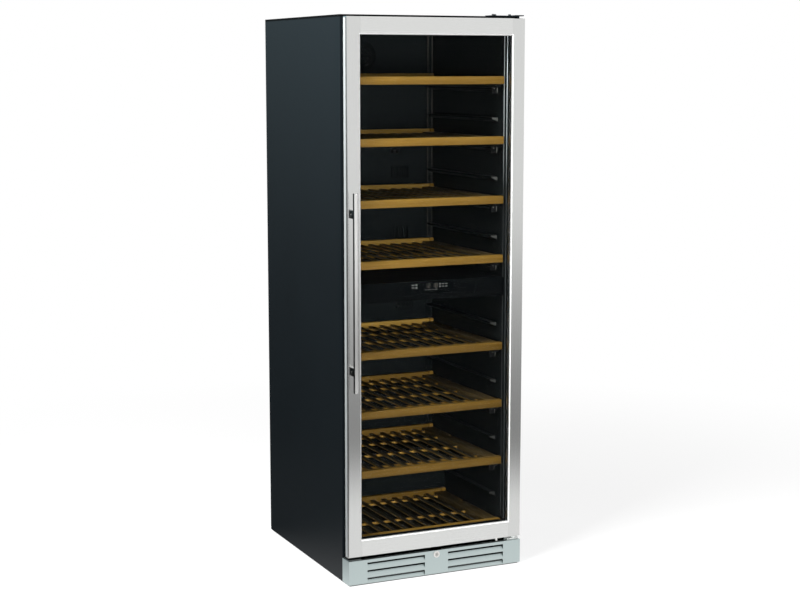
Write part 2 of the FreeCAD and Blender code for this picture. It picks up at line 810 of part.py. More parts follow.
def build_cooling():
    """Fans, fan motors and evaporators of both zones, and the machinery in the base."""
    fan_front = duct_back + S.fan_gap
    fan_back = fan_front + S.fan_depth
    motor_front = fan_back + S.motor_gap
    shaft = S.shaft_reach - S.running_clearance + S.motor_gap
    motors = []
    for name, level in (("upper_fan", upper_fan_level), ("lower_fan", lower_fan_level)):
        node(name, place(turn(rotor(S.fan_diameter), *AXIS_TURNS["y"]), 0, fan_front, level))
        body = rod("y", 0, motor_front, level, S.motor_diameter, liner_back - motor_front)
        spindle = rod("y", 0, motor_front - shaft, level, S.shaft_diameter, shaft)
        motors.append(fuse(body, spindle))

    condenser_right = S.condenser_length - machine_half
    middle = machine_middle
    wheel_left = condenser_right + S.condenser_fan_gap
    wheel = turn(rotor(S.condenser_fan_diameter), *AXIS_TURNS["x"])
    node("condenser_fan", place(wheel, wheel_left, middle, up(S.condenser_fan_height)))
    motor_left = wheel_left + S.fan_depth + S.motor_gap
    body = rod("x", motor_left, middle, up(S.condenser_fan_height), S.motor_diameter, S.motor_length)
    spindle = rod("x", motor_left - shaft, middle, up(S.condenser_fan_height), S.shaft_diameter, shaft)
    bracket_half = S.motor_foot_width / 2
    motor_right = motor_left + S.motor_length
    axle = up(S.condenser_fan_height)
    foot = span(motor_left, motor_right, middle - bracket_half, middle + bracket_half, base_top, axle)
    motors.append(fuse(body, spindle, foot))
    node("fan_motors", group(*motors))

    evaporators = []
    fan_space = S.fan_diameter / 2 + S.evaporator_fan_gap
    upper_low = high_vents + S.vent_slot_height / 2 + S.evaporator_vent_gap
    lower_low = lower_fan_level + fan_space
    lower_high = share_along(lower_low, divider_low, lower_evaporator_share)
    half_width = liner_half - S.evaporator_side_gap
    face = liner_back - S.evaporator_depth
    pitch = (half_width * 2) / FIN_SLOTS
    for low, high in ((upper_low, upper_fan_level - fan_space), (lower_low, lower_high)):
        block = across(half_width, face, liner_back, low, high)
        slots = []
        for index in range(FIN_SLOTS - 1):
            x0 = pitch * (index + 1) - half_width - S.fin_slot / 2
            slot_back = face + S.fin_slot_depth
            z0 = low - S.overrun
            z1 = high + S.overrun
            slots.append(span(x0, x0 + S.fin_slot, face - S.overrun, slot_back, z0, z1))
        evaporators.append(cut(block, *slots))
    node("evaporators", group(*evaporators))

    plate_half = S.compressor_plate_length / 2
    x = machine_half - plate_half
    plate_deep = S.compressor_plate_width / 2
    shell_low = base_top + S.compressor_plate
    dome_low = shell_low + S.compressor_shell
    crown = dome_low + S.compressor_dome
    plate_near = middle - plate_deep
    plate_far = middle + plate_deep
    plate = span(x - plate_half, x + plate_half, plate_near, plate_far, base_top, shell_low)
    shell = rod("z", x, middle, shell_low, S.compressor_diameter, S.compressor_shell)
    dome = taper("z", x, middle, dome_low, S.compressor_diameter, S.compressor_crown, S.compressor_dome)
    node("compressor", fuse(plate, shell, dome))

    pan_half = S.drain_pan_length / 2
    pan_deep = S.drain_pan_width / 2
    wall = S.drain_pan_sheet
    pan_left = x - pan_half
    pan_right = x + pan_half
    pan_near = middle - pan_deep
    pan_far = middle + pan_deep
    pan_top = crown + S.drain_pan_height
    tray = span(pan_left, pan_right, pan_near, pan_far, crown, pan_top)
    inside = span(
        pan_left + wall,
        pan_right - wall,
        pan_near + wall,
        pan_far - wall,
        crown + wall,
        pan_top + S.overrun,
    )
    node("drain_pan", cut(tray, inside))

    x0 = condenser_right - S.condenser_length
    y0 = middle - S.condenser_width / 2
    y1 = middle + S.condenser_width / 2
    block = span(x0, condenser_right, y0, y1, base_top, base_top + S.condenser_height)
    pitch = S.condenser_height / (CONDENSER_SLOTS + 1)
    slots = []
    slot_left = condenser_right - S.condenser_slot_depth
    slot_right = condenser_right + S.overrun
    for index in range(CONDENSER_SLOTS):
        z0 = base_top + pitch * (index + 1) - S.condenser_slot / 2
        z1 = z0 + S.condenser_slot
        slots.append(span(slot_left, slot_right, y0 - S.overrun, y1 + S.overrun, z0, z1))
    node("condenser", cut(block, *slots))

    z = up(S.gland_height)
    collar = rod("y", gland_x, back - S.gland_length, z, S.gland_diameter, S.gland_length)
    flange_front = panel_back - S.gland_flange_sheet
    flange = rod("y", gland_x, flange_front, z, S.gland_flange_diameter, S.gland_flange_sheet)
    bore_start = back - S.gland_length - S.overrun
    bore = rod("y", gland_x, bore_start, z, S.gland_bore, S.gland_length + S.overrun * 2)
    node("cord_gland", cut(fuse(collar, flange), bore))


def build_hinges():
    """Hinge brackets with their pins, the corner plate on the free side, and the screws."""
    arm_left = pin_x - S.bracket_arm_half
    nose = pin_y - S.bracket_nose
    plate_top = top + S.bracket_sheet
    plate = span(top_bracket_left, bracket_right, top_bracket_front, top_bracket_back, top, plate_top)
    arm = span(arm_left, bracket_right, nose, top_bracket_front, top, plate_top)
    pin_low = door_top - S.pin_engagement
    pin = rod("z", pin_x, pin_y, pin_low, S.pin_diameter, plate_top - pin_low)
    node("hinge_bracket_top", cut(fuse(plate, arm, pin), *holes(top_screws)))

    low = flange_top + S.bottom_bracket_gap
    plate_left = bracket_right - S.bottom_bracket_length
    plate = span(plate_left, bracket_right, nose, casing_front, low, low + S.bracket_sheet)
    flange = span(flange_left, bracket_right, flange_face, casing_front, flange_low, low)
    pin = rod("z", pin_x, pin_y, low, S.pin_diameter, door_bottom + S.pin_engagement - low)
    washer = rod("z", pin_x, pin_y, low, S.washer_diameter, door_bottom - S.slide_clearance - low)
    node("hinge_bracket_bottom", cut(fuse(plate, flange, pin, washer), *holes(lower_screws[1])))

    low = flange_top + S.corner_plate_gap
    plate = span(-bracket_right, -plate_left, nose, casing_front, low, low + S.bracket_sheet)
    flange = span(-bracket_right, -flange_left, flange_face, casing_front, flange_low, low)
    node("corner_plate", cut(fuse(plate, flange), *holes(lower_screws[-1])))

    lists = [top_screws, *lower_screws.values(), *back_screws.values(), *grille_screws.values()]
    node("screws", group(*[screw.solid() for screws in lists for screw in screws]))


def louvre(side, index):
    """The opening of one louvre, and the sheared flap bent in below its slot."""
    high = up(S.louvre_top) - S.louvre_pitch * index
    low = high - S.louvre_height
    inner = S.louvre_inset
    outer = half - S.louvre_end_margin
    width = outer - inner
    behind = deep(S.kick_sheet) + S.overrun
    window = side_span(side, inner, outer, door_front - S.overrun, behind, low, high)
    x = inner if side > 0 else -outer
    wall = S.louvre_sheet
    zero = Size("0", 0)
    rise = S.louvre_height - S.louvre_slot
    skin = wedge(
        (zero, width, -S.kick_sheet, zero),
        (zero, width, -(S.louvre_depth + wall), zero),
        rise,
    )
    space = wedge(
        (-S.overrun, width + S.overrun, wall - S.kick_sheet, S.overrun),
        (-S.overrun, width + S.overrun, -S.louvre_depth, S.overrun),
        rise,
    )
    for piece in (skin, space):
        place(turn(piece, (1, 0, 0), 90.0), x, door_front, low)
    return window, cut(skin, space)


def build_kick_plate():
    """Kick plate with its louvres, and the lock in it."""
    y1 = deep(S.kick_sheet)
    level = up(S.lock_height)
    kick_top = up(S.kick_height)
    face = across(half, door_front, y1, bottom, kick_top)
    fold_half = half - S.kick_sheet
    returns = [side_span(side, fold_half, half, y1, casing_front, bottom, kick_top) for side in SIDES]
    fold_low = kick_top - S.kick_sheet
    fold_back = y1 + S.kick_fold
    folds = [
        side_span(side, S.lock_flange_diameter, fold_half, y1, fold_back, fold_low, kick_top)
        for side in SIDES
    ]
    louvres = [louvre(side, index) for side in SIDES for index in range(LOUVRES)]
    seat = S.lock_barrel_diameter + S.lock_seat_gap * 2
    lock_hole = rod("y", 0, door_front - S.overrun, level, seat, S.kick_sheet + S.overrun * 2)
    plain = cut(fuse(face, *returns, *folds), lock_hole, *[window for window, flap in louvres])
    node("kick_plate", fuse(plain, *[flap for window, flap in louvres]))

    flange_start = door_front - S.lock_flange_height
    length = S.lock_flange_height + S.lock_barrel_length
    flange = rod("y", 0, flange_start, level, S.lock_flange_diameter, S.lock_flange_height)
    barrel = rod("y", 0, door_front, level, S.lock_barrel_diameter, S.lock_barrel_length)
    bore = S.lock_core_diameter + S.running_clearance * 2
    core_hole = rod("y", 0, flange_start - S.overrun, level, bore, length + S.overrun * 2)
    node("lock_barrel", cut(fuse(flange, barrel), core_hole))

    cam_front = deep(S.lock_barrel_length) + S.slide_clearance
    core = rod("y", 0, flange_start, level, S.lock_core_diameter, cam_front - flange_start)
    cam_half = S.cam_width / 2
    cam_back = cam_front + S.cam_sheet
    cam = span(-cam_half, S.cam_length, cam_front, cam_back, level - cam_half, level + cam_half)
    key_half = S.keyway_height / 2
    key_front = flange_start - S.overrun
    key_back = flange_start + S.keyway_depth
    keyway = across(S.keyway_width / 2, key_front, key_back, level - key_half, level + key_half)
    node("lock_cylinder", cut(fuse(core, cam), keyway))


def rounded_bar(x0, x1, z0, z1, front_edges):
    """A door member's outer block with chosen front edges rounded."""
    body = doc.addObject("PartDesign::Body", "member")
    sketch = body.newObject("Sketcher::SketchObject", "section")
    plane = [f for f in body.Origin.OriginFeatures if f.Role == "XY_Plane"][0]
    sketch.AttachmentSupport = (plane, [""])
    sketch.MapMode = "FlatFace"
    width = x1 - x0
    wide = width.value
    thick = S.door_steel_depth.value
    points = [FreeCAD.Vector(a, b, 0) for a, b in ((0, 0), (wide, 0), (wide, thick), (0, thick))]
    for index in range(4):
        sketch.addGeometry(Part.LineSegment(points[index], points[(index + 1) % 4]), False)
    add_section_constraints(sketch, width)
    pad = body.newObject("PartDesign::Pad", "length")
    pad.Profile = sketch
    bind(pad, {"Length": z1 - z0})
    doc.recompute()
    chosen = []
    for number, edge in enumerate(pad.Shape.Edges, start=1):
        if front_edge_name(edge.CenterOfMass, width, z1 - z0) in front_edges:
            chosen.append(f"Edge{number}")
    rounding = body.newObject("PartDesign::Fillet", "rounding")
    rounding.Base = (pad, chosen)
    bind(rounding, {"Radius": S.door_edge_radius})
    body.Tip = rounding
    return place(body, x0, door_front, z0)


def add_section_constraints(sketch, width):
    """Ties a rectangle's corners and binds its two lengths."""
    for index in range(4):
        sketch.addConstraint(Sketcher.Constraint("Coincident", index, 2, (index + 1) % 4, 1))
    for index in range(4):
        kind = "Horizontal" if index % 2 == 0 else "Vertical"
        sketch.addConstraint(Sketcher.Constraint(kind, index))
    sketch.addConstraint(Sketcher.Constraint("Coincident", 0, 1, -1, 1))
    depth = S.door_steel_depth
    wide = sketch.addConstraint(Sketcher.Constraint("DistanceX", 0, 1, 0, 2, width.value))
    thick = sketch.addConstraint(Sketcher.Constraint("DistanceY", 1, 1, 1, 2, depth.value))
    sketch.setExpression(f"Constraints[{wide}]", width.text)
    sketch.setExpression(f"Constraints[{thick}]", depth.text)


def front_edge_name(middle, width, length):
    """Which of the four front edges of a member an edge's middle lies on, if any."""
    if middle.y > S.door_steel_depth.value / 4:
        return None
    if abs(middle.x - width.value / 2) > width.value / 4:
        return "left" if middle.x < width.value / 2 else "right"
    return "low" if middle.z < length.value / 2 else "high"


def build_door_frame():
    """Two full-height stiles and two rails of folded steel sheet, bevelled round the window."""
    bevel = S.window_bevel
    mouth = (-(window_half + bevel), window_half + bevel, window_low - bevel, window_high + bevel)
    throat = (-window_half, window_half, window_low, window_high)
    skin = S.door_sheet
    lip = bevel + skin
    y_skin = deep(skin)
    y_lip = deep(S.window_lip)
    y_out = steel_back + S.overrun
    bush_hole = S.bush_diameter + S.bush_seat_gap * 2
    for side, name in zip(SIDES, ("door_stile_left", "door_stile_right")):
        x0, x1 = (window_half, half) if side > 0 else (-half, -window_half)
        outer_edge = "right" if side > 0 else "left"
        bar = rounded_bar(x0, x1, door_bottom, door_top, (outer_edge, "low", "high"))
        z0, z1 = door_bottom + skin, door_top - skin
        x_in, x_out = window_half - S.overrun, half - skin
        shallow = side_span(side, window_half + lip, x_out, y_skin, y_lip, z0, z1)
        deep_part = side_span(side, x_in, x_out, y_lip, y_out, z0, z1)
        corners = [
            side_span(side, x_in, x_out, y_skin, y_lip, z0, window_low - lip),
            side_span(side, x_in, x_out, y_skin, y_lip, window_high + lip, z1),
        ]
        bevel_cut = place(wedge(mouth, throat, bevel), 0, door_front, 0)
        tools = [fuse(shallow, deep_part, *corners), bevel_cut]
        if side > 0:
            tools += [rod("z", pin_x, pin_y, z - S.overrun, bush_hole, S.overrun * 2) for z in (z0, z1)]
        node(name, cut(bar, *tools))

    slot_front = keeper_middle() - S.keeper_slot_width / 2
    slot_back = keeper_middle() + S.keeper_slot_width / 2
    rails = (
        ("door_rail_bottom", door_bottom, window_low, "low"),
        ("door_rail_top", window_high, door_top, "high"),
    )
    for name, z0, z1, outer_edge in rails:
        bar = rounded_bar(-window_half, window_half, z0, z1, (outer_edge,))
        reach = window_half + S.overrun
        if outer_edge == "low":
            shallow = across(reach, y_skin, y_lip, z0 + skin, z1 - lip)
            deep_part = across(reach, y_lip, y_out, z0 + skin, z1 + S.overrun)
        else:
            shallow = across(reach, y_skin, y_lip, z0 + lip, z1 - skin)
            deep_part = across(reach, y_lip, y_out, z0 - S.overrun, z1 - skin)
        bevel_cut = place(wedge(mouth, throat, bevel), 0, door_front, 0)
        tools = [fuse(shallow, deep_part), bevel_cut]
        if outer_edge == "low":
            slot_low = z0 - S.overrun
            slot_high = z0 + skin + S.overrun
            x0 = -S.keeper_slot_behind
            tools.append(span(x0, S.keeper_slot_ahead, slot_front, slot_back, slot_low, slot_high))
        node(name, cut(bar, *tools))


def keeper_middle():
    """Depth of the middle of the lock's cam."""
    return deep(S.lock_barrel_length) + S.slide_clearance + S.cam_sheet / 2


def build_door_inside():
    """Inner frame, glass unit, gasket, bushes and the lock's keeper."""
    edge = S.inner_frame_inset
    frame_half = half - edge
    side_in = glass_half + S.glass_edge_gap
    clamp_half = window_half + S.inner_frame_lip
    front = deep(S.door_sheet)
    low, high = door_bottom + edge, door_top - edge
    bush_hole = S.bush_diameter + S.bush_seat_gap * 2
    strips = []
    for side in SIDES:
        body = side_span(side, side_in, frame_half, front, glass_back, low, high)
        clamp = side_span(side, clamp_half, frame_half, glass_back, inner_frame_back, low, high)
        strip = fuse(body, clamp)
        if side > 0:
            depth = S.bush_length - edge
            strip = cut(
                strip,
                rod("z", pin_x, pin_y, low - S.overrun, bush_hole, depth + S.overrun),
                rod("z", pin_x, pin_y, high - depth, bush_hole, depth + S.overrun),
            )
        strips.append(strip)
    low_in = glass_low - S.glass_edge_gap
    high_in = glass_high + S.glass_edge_gap
    clamp_low = window_low - S.inner_frame_lip
    clamp_high = window_high + S.inner_frame_lip
    lower = fuse(
        across(side_in, front, glass_back, low, low_in),
        across(clamp_half, glass_back, inner_frame_back, low, clamp_low),
    )
    keeper_front = keeper_middle() - S.keeper_width / 2
    keeper_back = keeper_middle() + S.keeper_width / 2
    pocket_low = low - S.overrun
    pocket_top = door_bottom + S.keeper_pocket_rise
    pocket_left = -S.keeper_slot_behind
    pocket = span(pocket_left, S.keeper_slot_ahead, keeper_front, keeper_back, pocket_low, pocket_top)
    strips.append(cut(lower, pocket))
    strips.append(
        fuse(
            across(side_in, front, glass_back, high_in, high),
            across(clamp_half, glass_back, inner_frame_back, clamp_high, high),
        )
    )
    node("door_inner_frame", group(*strips))

    for index, name in enumerate(("glass_front", "glass_middle", "glass_inner")):
        y0 = glass_front_face + glass_pitch * index
        node(name, across(glass_half, y0, y0 + S.glass_sheet, glass_low, glass_high))
    spacers = []
    inset = S.spacer_inset
    inner = S.spacer_inset + S.spacer_width
    for index in range(2):
        y0 = glass_front_face + S.glass_sheet + glass_pitch * index
        z_out = (glass_low + inset, glass_high - inset)
        z_in = (glass_low + inner, glass_high - inner)
        spacers.append(ring(glass_half - inset, glass_half - inner, y0, y0 + S.glass_space, z_out, z_in))
    node("glazing_spacers", group(*spacers))

    gasket_in = opening_half + S.gasket_sink
    gasket_out = half - S.gasket_inset
    band = gasket_out - gasket_in
    z_in = (liner_floor_low - S.gasket_sink, liner_roof + S.gasket_sink)
    z_out = (z_in[0] - band, z_in[1] + band)
    node(
        "door_gasket",
        ring(gasket_out, gasket_in, inner_frame_back, casing_front - S.gasket_gap, z_out, z_in),
    )

    bore = S.pin_diameter + S.running_clearance * 2
    bushes = []
    for z in (door_bottom, door_top - S.bush_length):
        sleeve = rod("z", pin_x, pin_y, z, S.bush_diameter, S.bush_length)
        through = rod("z", pin_x, pin_y, z - S.overrun, bore, S.bush_length + S.overrun * 2)
        bushes.append(cut(sleeve, through))
    node("hinge_bushes", group(*bushes))

    seat = door_bottom + S.door_sheet
    slot_middle = (S.keeper_slot_ahead - S.keeper_slot_behind) / 2
    plate_left = slot_middle - S.keeper_length / 2
    plate_right = plate_left + S.keeper_length
    plate = span(plate_left, plate_right, keeper_front, keeper_back, seat, seat + S.keeper_sheet)
    slot_front = keeper_middle() - S.keeper_slot_width / 2
    slot_back = keeper_middle() + S.keeper_slot_width / 2
    slot_low = seat - S.overrun
    slot_high = seat + S.overrun
    slot = span(-S.keeper_slot_behind, S.keeper_slot_ahead, slot_front, slot_back, slot_low, slot_high)
    node("lock_keeper", cut(plate, slot))


def build_handle():
    """Round handle bar with eased ends, on two posts."""
    x = -half + S.handle_inset
    y = door_front - S.handle_standoff
    low = share_along(door_bottom, door_top, handle_share) - S.handle_length / 2
    high = low + S.handle_length
    edge = S.handle_edge
    tip = S.handle_diameter - edge * 2
    bar = rod("z", x, y, low + edge, S.handle_diameter, S.handle_length - edge * 2)
    foot = taper("z", x, y, low, tip, S.handle_diameter, edge)
    head = taper("z", x, y, high - edge, S.handle_diameter, tip, edge)
    node("handle_bar", fuse(foot, bar, head))

    saddle = S.handle_diameter + S.post_saddle_gap * 2
    posts = []
    for middle in (low + S.post_end_inset, high - S.post_end_inset):
        x0 = x - S.post_width / 2
        z0 = middle - S.post_height / 2
        block = span(x0, x0 + S.post_width, y, door_front, z0, z0 + S.post_height)
        posts.append(cut(block, rod("z", x, y, z0 - S.overrun, saddle, S.post_height + S.overrun * 2)))
    node("handle_posts", group(*posts))


def runners(low, bar_back, rear_front):
    """The runners under a shelf's side rails, each with a stop before its ledge's front end."""
    pieces = []
    half_width = shelf_half
    run_low = low - S.runner_height
    stop_back = ledge_front - S.runner_stop_gap
    stop_front = stop_back - S.runner_stop_sheet
    for side in SIDES:
        run_in = half_width - S.runner_width
        pieces.append(side_span(side, run_in, half_width, bar_back, rear_front, run_low, low))
        stop_out = run_in + S.runner_stop_width
        stop_low = run_low - S.runner_stop_drop
        pieces.append(side_span(side, run_in, stop_out, stop_front, stop_back, stop_low, run_low))
    return pieces


def shelf(label, top_level, rear, batten_shares, on_ledges):
    """A wooden shelf: front bar, side rails, rear bar with end blocks, battens and slats."""
    half_width = shelf_half
    low = top_level - S.shelf_bar_height
    bar_back = shelf_front + S.shelf_bar_depth
    rail_in = half_width - S.shelf_rail_width
    rear_front = rear - S.rear_bar_depth
    rear_top = top_level + S.rear_bar_rise
    slat_top = top_level - S.slat_step
    slat_low = slat_top - S.slat_sheet
    pieces = [across(half_width, shelf_front, bar_back, low, top_level)]
    block_in = half_width - S.rear_block_width
    pieces.append(across(block_in - S.rear_bar_gap, rear_front, rear, low, rear_top))
    for side in SIDES:
        rail_top = top_level - S.shelf_rail_step
        pieces.append(side_span(side, rail_in, half_width, bar_back, rear_front, low, rail_top))
        pieces.append(side_span(side, block_in, half_width, rear_front, rear, low, rear_top))
    for share in batten_shares:
        middle = share_along(bar_back, rear_front - S.batten_width / 2, share)
        y0 = middle - S.batten_width / 2
        batten_low = slat_low - S.batten_height
        pieces.append(across(rail_in, y0, y0 + S.batten_width, batten_low, slat_low))
    gap = (rail_in * 2 - S.slat_width * SLATS) / (SLATS + 1)
    pitch = S.slat_width + gap
    for index in range(SLATS):
        x0 = pitch * (index - (SLATS - 1) / 2) - S.slat_width / 2
        pieces.append(span(x0, x0 + S.slat_width, bar_back, rear_front, slat_low, slat_top))
    if on_ledges:
        pieces += runners(low, bar_back, rear_front)
    node(label, group(*pieces))


def build_shelves():
    """Seven full-depth shelves on the ledges and one short shelf on the liner floor."""
    rear = duct_front - S.corner_rib_depth - S.shelf_back_gap
    for number, level in enumerate(SHELF_LEVELS, start=1):
        shelf(f"shelf_{number}", shelf_top(level), rear, shelf_batten_shares, True)
    floor_top = liner_floor + S.slide_clearance + S.shelf_bar_height
    number = len(SHELF_LEVELS) + 1
    shelf(f"shelf_{number}", floor_top, step_front - S.shelf_back_gap, floor_shelf_batten_shares, False)


def build_feet():
    """Four levelling feet: pad, neck and threaded stem."""
    zero = Size("0", 0)
    neck_top = base_low - S.slide_clearance
    names = ("foot_front_left", "foot_front_right", "foot_rear_left", "foot_rear_right")
    for name, (x, y) in zip(names, FEET):
        pad = rod("z", x, y, zero, S.foot_pad_diameter, S.foot_pad_height)
        neck = rod("z", x, y, S.foot_pad_height, S.foot_neck_diameter, neck_top - S.foot_pad_height)
        stem = rod("z", x, y, neck_top, S.foot_stem_diameter, up(S.foot_stem_top) - neck_top)
        node(name, fuse(pad, neck, stem))


FEET = [
    (x, y)
    for y in (casing_front + S.front_foot_inset, back - S.rear_foot_inset)
    for x in (-foot_half, foot_half)
]

build_casing()
build_liner()
build_ledges_and_divider()
build_ducts()
build_cooling()
build_hinges()
build_kick_plate()
build_door_frame()
build_door_inside()
build_handle()
build_shelves()
build_feet()
doc.recompute()

failed = [item.Name for item in doc.Objects if "Invalid" in item.State or "Error" in item.State]
if failed:
    raise RuntimeError(f"these objects failed: {failed}")
for piece in NODES:
    if piece.Shape.isNull() or not piece.Shape.isValid() or not piece.Shape.Solids:
        raise RuntimeError(f"{piece.Label} has no valid solid")

os.makedirs("parts", exist_ok=True)
for piece in NODES:
    piece.Shape.exportStep(os.path.join("parts", f"{piece.Label}.step"))
    print(piece.Label, len(piece.Shape.Solids), round(piece.Shape.Volume))
print(len(NODES), "nodes")
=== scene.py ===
"""Wine display cabinet: its finishes, small parts, light and camera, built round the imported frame."""

import json
import logging
import math
import random
from dataclasses import dataclass, field
from enum import Enum
from typing import Callable, Sequence

import bpy
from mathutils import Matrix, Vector


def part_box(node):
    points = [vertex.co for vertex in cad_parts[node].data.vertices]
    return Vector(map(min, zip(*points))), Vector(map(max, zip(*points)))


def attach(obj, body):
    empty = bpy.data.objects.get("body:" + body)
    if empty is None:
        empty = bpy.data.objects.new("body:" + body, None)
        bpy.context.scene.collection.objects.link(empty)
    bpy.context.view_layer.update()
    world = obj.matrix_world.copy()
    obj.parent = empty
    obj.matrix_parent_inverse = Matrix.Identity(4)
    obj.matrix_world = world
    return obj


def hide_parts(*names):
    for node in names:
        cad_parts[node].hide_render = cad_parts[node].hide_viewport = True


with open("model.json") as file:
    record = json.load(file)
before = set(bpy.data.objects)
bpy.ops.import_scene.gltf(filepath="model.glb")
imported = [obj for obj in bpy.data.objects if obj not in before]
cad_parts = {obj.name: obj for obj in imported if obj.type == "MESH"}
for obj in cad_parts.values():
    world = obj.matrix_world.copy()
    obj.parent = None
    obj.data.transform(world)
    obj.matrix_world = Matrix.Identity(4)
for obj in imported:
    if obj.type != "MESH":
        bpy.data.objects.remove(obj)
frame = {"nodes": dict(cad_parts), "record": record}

LOG = logging.getLogger("wine_cabinet")
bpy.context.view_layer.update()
SIDES = (-1.0, 1.0)
FACING = 0.8
SMOOTHEST = 0.02
SHARP_ANGLE = math.radians(30.0)
BLEND_ANGLE = math.radians(35.0)
Colour = tuple[float, float, float]
Paint = tuple[float, float, float, float]
Point = tuple[float, float, float]
Piece = bpy.types.Object
Node = bpy.types.Node
Socket = bpy.types.NodeSocket
WHITE: Colour = (1.0, 1.0, 1.0)
BLACK: Colour = (0.0, 0.0, 0.0)
EVEN: Point = (1.0, 1.0, 1.0)


def deselect() -> None:
    """Leaves no object selected, so that an operator acts on the next piece alone."""
    bpy.ops.object.select_all(action="DESELECT")


def opaque(colour: Colour, share: float = 1.0) -> Paint:
    """Gives a colour, darkened or lightened by a share, with no transparency."""
    return (*(min(1.0, part * share) for part in colour), 1.0)


class Run(Enum):
    """The direction in which a grain, a brushing or a rod runs."""

    ACROSS = (1.0, 0.0, 0.0)
    DEEP = (0.0, 1.0, 0.0)
    UPRIGHT = (0.0, 0.0, 1.0)

    def stretch(self, along: float, over: float) -> Point:
        """Gives noise scales per metre, one along the run and one over it."""
        return tuple(along if part else over for part in self.value)

    def turn(self) -> Point:
        """Gives the turn that lays an upright rod along the run."""
        return (-self.value[1] * math.pi / 2.0, self.value[0] * math.pi / 2.0, 0.0)


class Board:
    """Adds nodes to a node tree and wires them."""

    def __init__(self, tree: bpy.types.NodeTree) -> None:
        """Keeps the tree that the nodes go to."""
        self.tree = tree

    def add(self, kind: str, settings: dict[str, object] | None = None, **inputs: object) -> Node:
        """Adds a node.

        Args:
            kind: the node's type name after ShaderNode.
            settings: the node's own properties.
            **inputs: values or sockets for its inputs, as feed takes them.

        Returns:
            The new node.
        """
        node = self.tree.nodes.new("ShaderNode" + kind)
        for name, value in (settings or {}).items():
            setattr(node, name, value)
        self.feed(node, **inputs)
        return node

    def feed(self, node: Node, **inputs: object) -> None:
        """Sets inputs to values, or wires sockets to them.

        Args:
            node: the node.
            **inputs: values or sockets by the input's name, with _ for a space, or by number as i0 or i1.
        """
        for name, value in inputs.items():
            numbered = name[0] == "i" and name[1:].isdigit()
            socket = node.inputs[int(name[1:]) if numbered else name.replace("_", " ")]
            if isinstance(value, Socket):
                self.tree.links.new(value, socket)
            else:
                socket.default_value = value

    def reckon(self, operation: str, *values: float | Socket, clamp: bool = False) -> Socket:
        """Works on numbers.

        Args:
            operation: the operation's name.
            *values: what it works on.
            clamp: whether the result is kept between 0 and 1.

        Returns:
            The result.
        """
        node = self.add("Math", {"operation": operation, "use_clamp": clamp})
        self.feed(node, **{f"i{index}": value for index, value in enumerate(values)})
        return node.outputs[0]

    def vector(self, operation: str, first: Socket, second: Socket) -> Socket:
        """Multiplies or adds two vectors."""
        return self.add("VectorMath", {"operation": operation}, i0=first, i1=second).outputs["Vector"]

    def blend(self, share: Socket, low: Paint | Socket, high: Paint | Socket) -> Socket:
        """Mixes two colours by a share."""
        return self.add("Mix", {"data_type": "RGBA"}, i0=share, i6=low, i7=high).outputs[2]

    def layer(self, share: Socket, first: Node, second: Node) -> Node:
        """Mixes two shaders by a share."""
        return self.add("MixShader", i0=share, i1=first.outputs[0], i2=second.outputs[0])

    def ranged(self, value: Socket, **ends: float | Socket) -> Socket:
        """Takes a value from one range to another, 0 to 1 where an end isn't given."""
        return self.add("MapRange", Value=value, **ends).outputs["Result"]

    def noise(self, where: Socket, **settings: float | Socket) -> Socket:
        """Gives a noise pattern at a place."""
        return self.add("TexNoise", Vector=where, **settings).outputs["Fac"]

    def place(self) -> Socket:
        """Gives the place on the piece."""
        return self.add("TexCoord").outputs["Object"]


class Group:
    """A shader node group with named inputs and outputs, built once and shared."""

    def __init__(self, name: str, inputs: dict[str, tuple[str, object]], outputs: dict[str, str]) -> None:
        """Makes the empty group.

        Args:
            name: the group's name.
            inputs: socket type and default value by input name.
            outputs: socket type by output name.
        """
        self.tree = bpy.data.node_groups.new(name, "ShaderNodeTree")
        for label, (kind, value) in inputs.items():
            socket = self.tree.interface.new_socket(label, in_out="INPUT", socket_type="NodeSocket" + kind)
            socket.default_value = value
        for label, kind in outputs.items():
            self.tree.interface.new_socket(label, in_out="OUTPUT", socket_type="NodeSocket" + kind)
        self.board = Board(self.tree)
        self.given = self.tree.nodes.new("NodeGroupInput").outputs
        self.result = self.tree.nodes.new("NodeGroupOutput")

    def put(self, **sockets: Socket) -> None:
        """Wires sockets to the group's outputs."""
        self.board.feed(self.result, **sockets)

    def place(self, board: Board, **inputs: object) -> Node:
        """Places the group in a material.

        Args:
            board: the material's board.
            **inputs: the group's values there.

        Returns:
            The placed group.
        """
        node = board.tree.nodes.new("ShaderNodeGroup")
        node.node_tree = self.tree
        board.feed(node, **inputs)
        return node


def streak_group() -> Group:
    """Makes the group of fine lines along one direction, as brushing leaves them.

    Returns:
        The group, with a Mask and a Height.
    """
    blotch_share = 0.4
    group = Group("fine_lines", {"Stretch": ("Vector", EVEN), "Blotch": ("Float", 4.0)},
                  {"Mask": "Float", "Height": "Float"})
    board = group.board
    where = board.place()
    scaled = board.vector("MULTIPLY", where, group.given["Stretch"])
    lines = board.noise(scaled, Scale=1.0, Detail=4.0, Roughness=0.65)
    blotch = board.noise(where, Scale=group.given["Blotch"], Detail=2.0)
    uneven = board.reckon("MULTIPLY_ADD", blotch, blotch_share, -blotch_share / 2.0)
    group.put(Mask=board.reckon("ADD", lines, uneven, clamp=True), Height=lines)
    return group


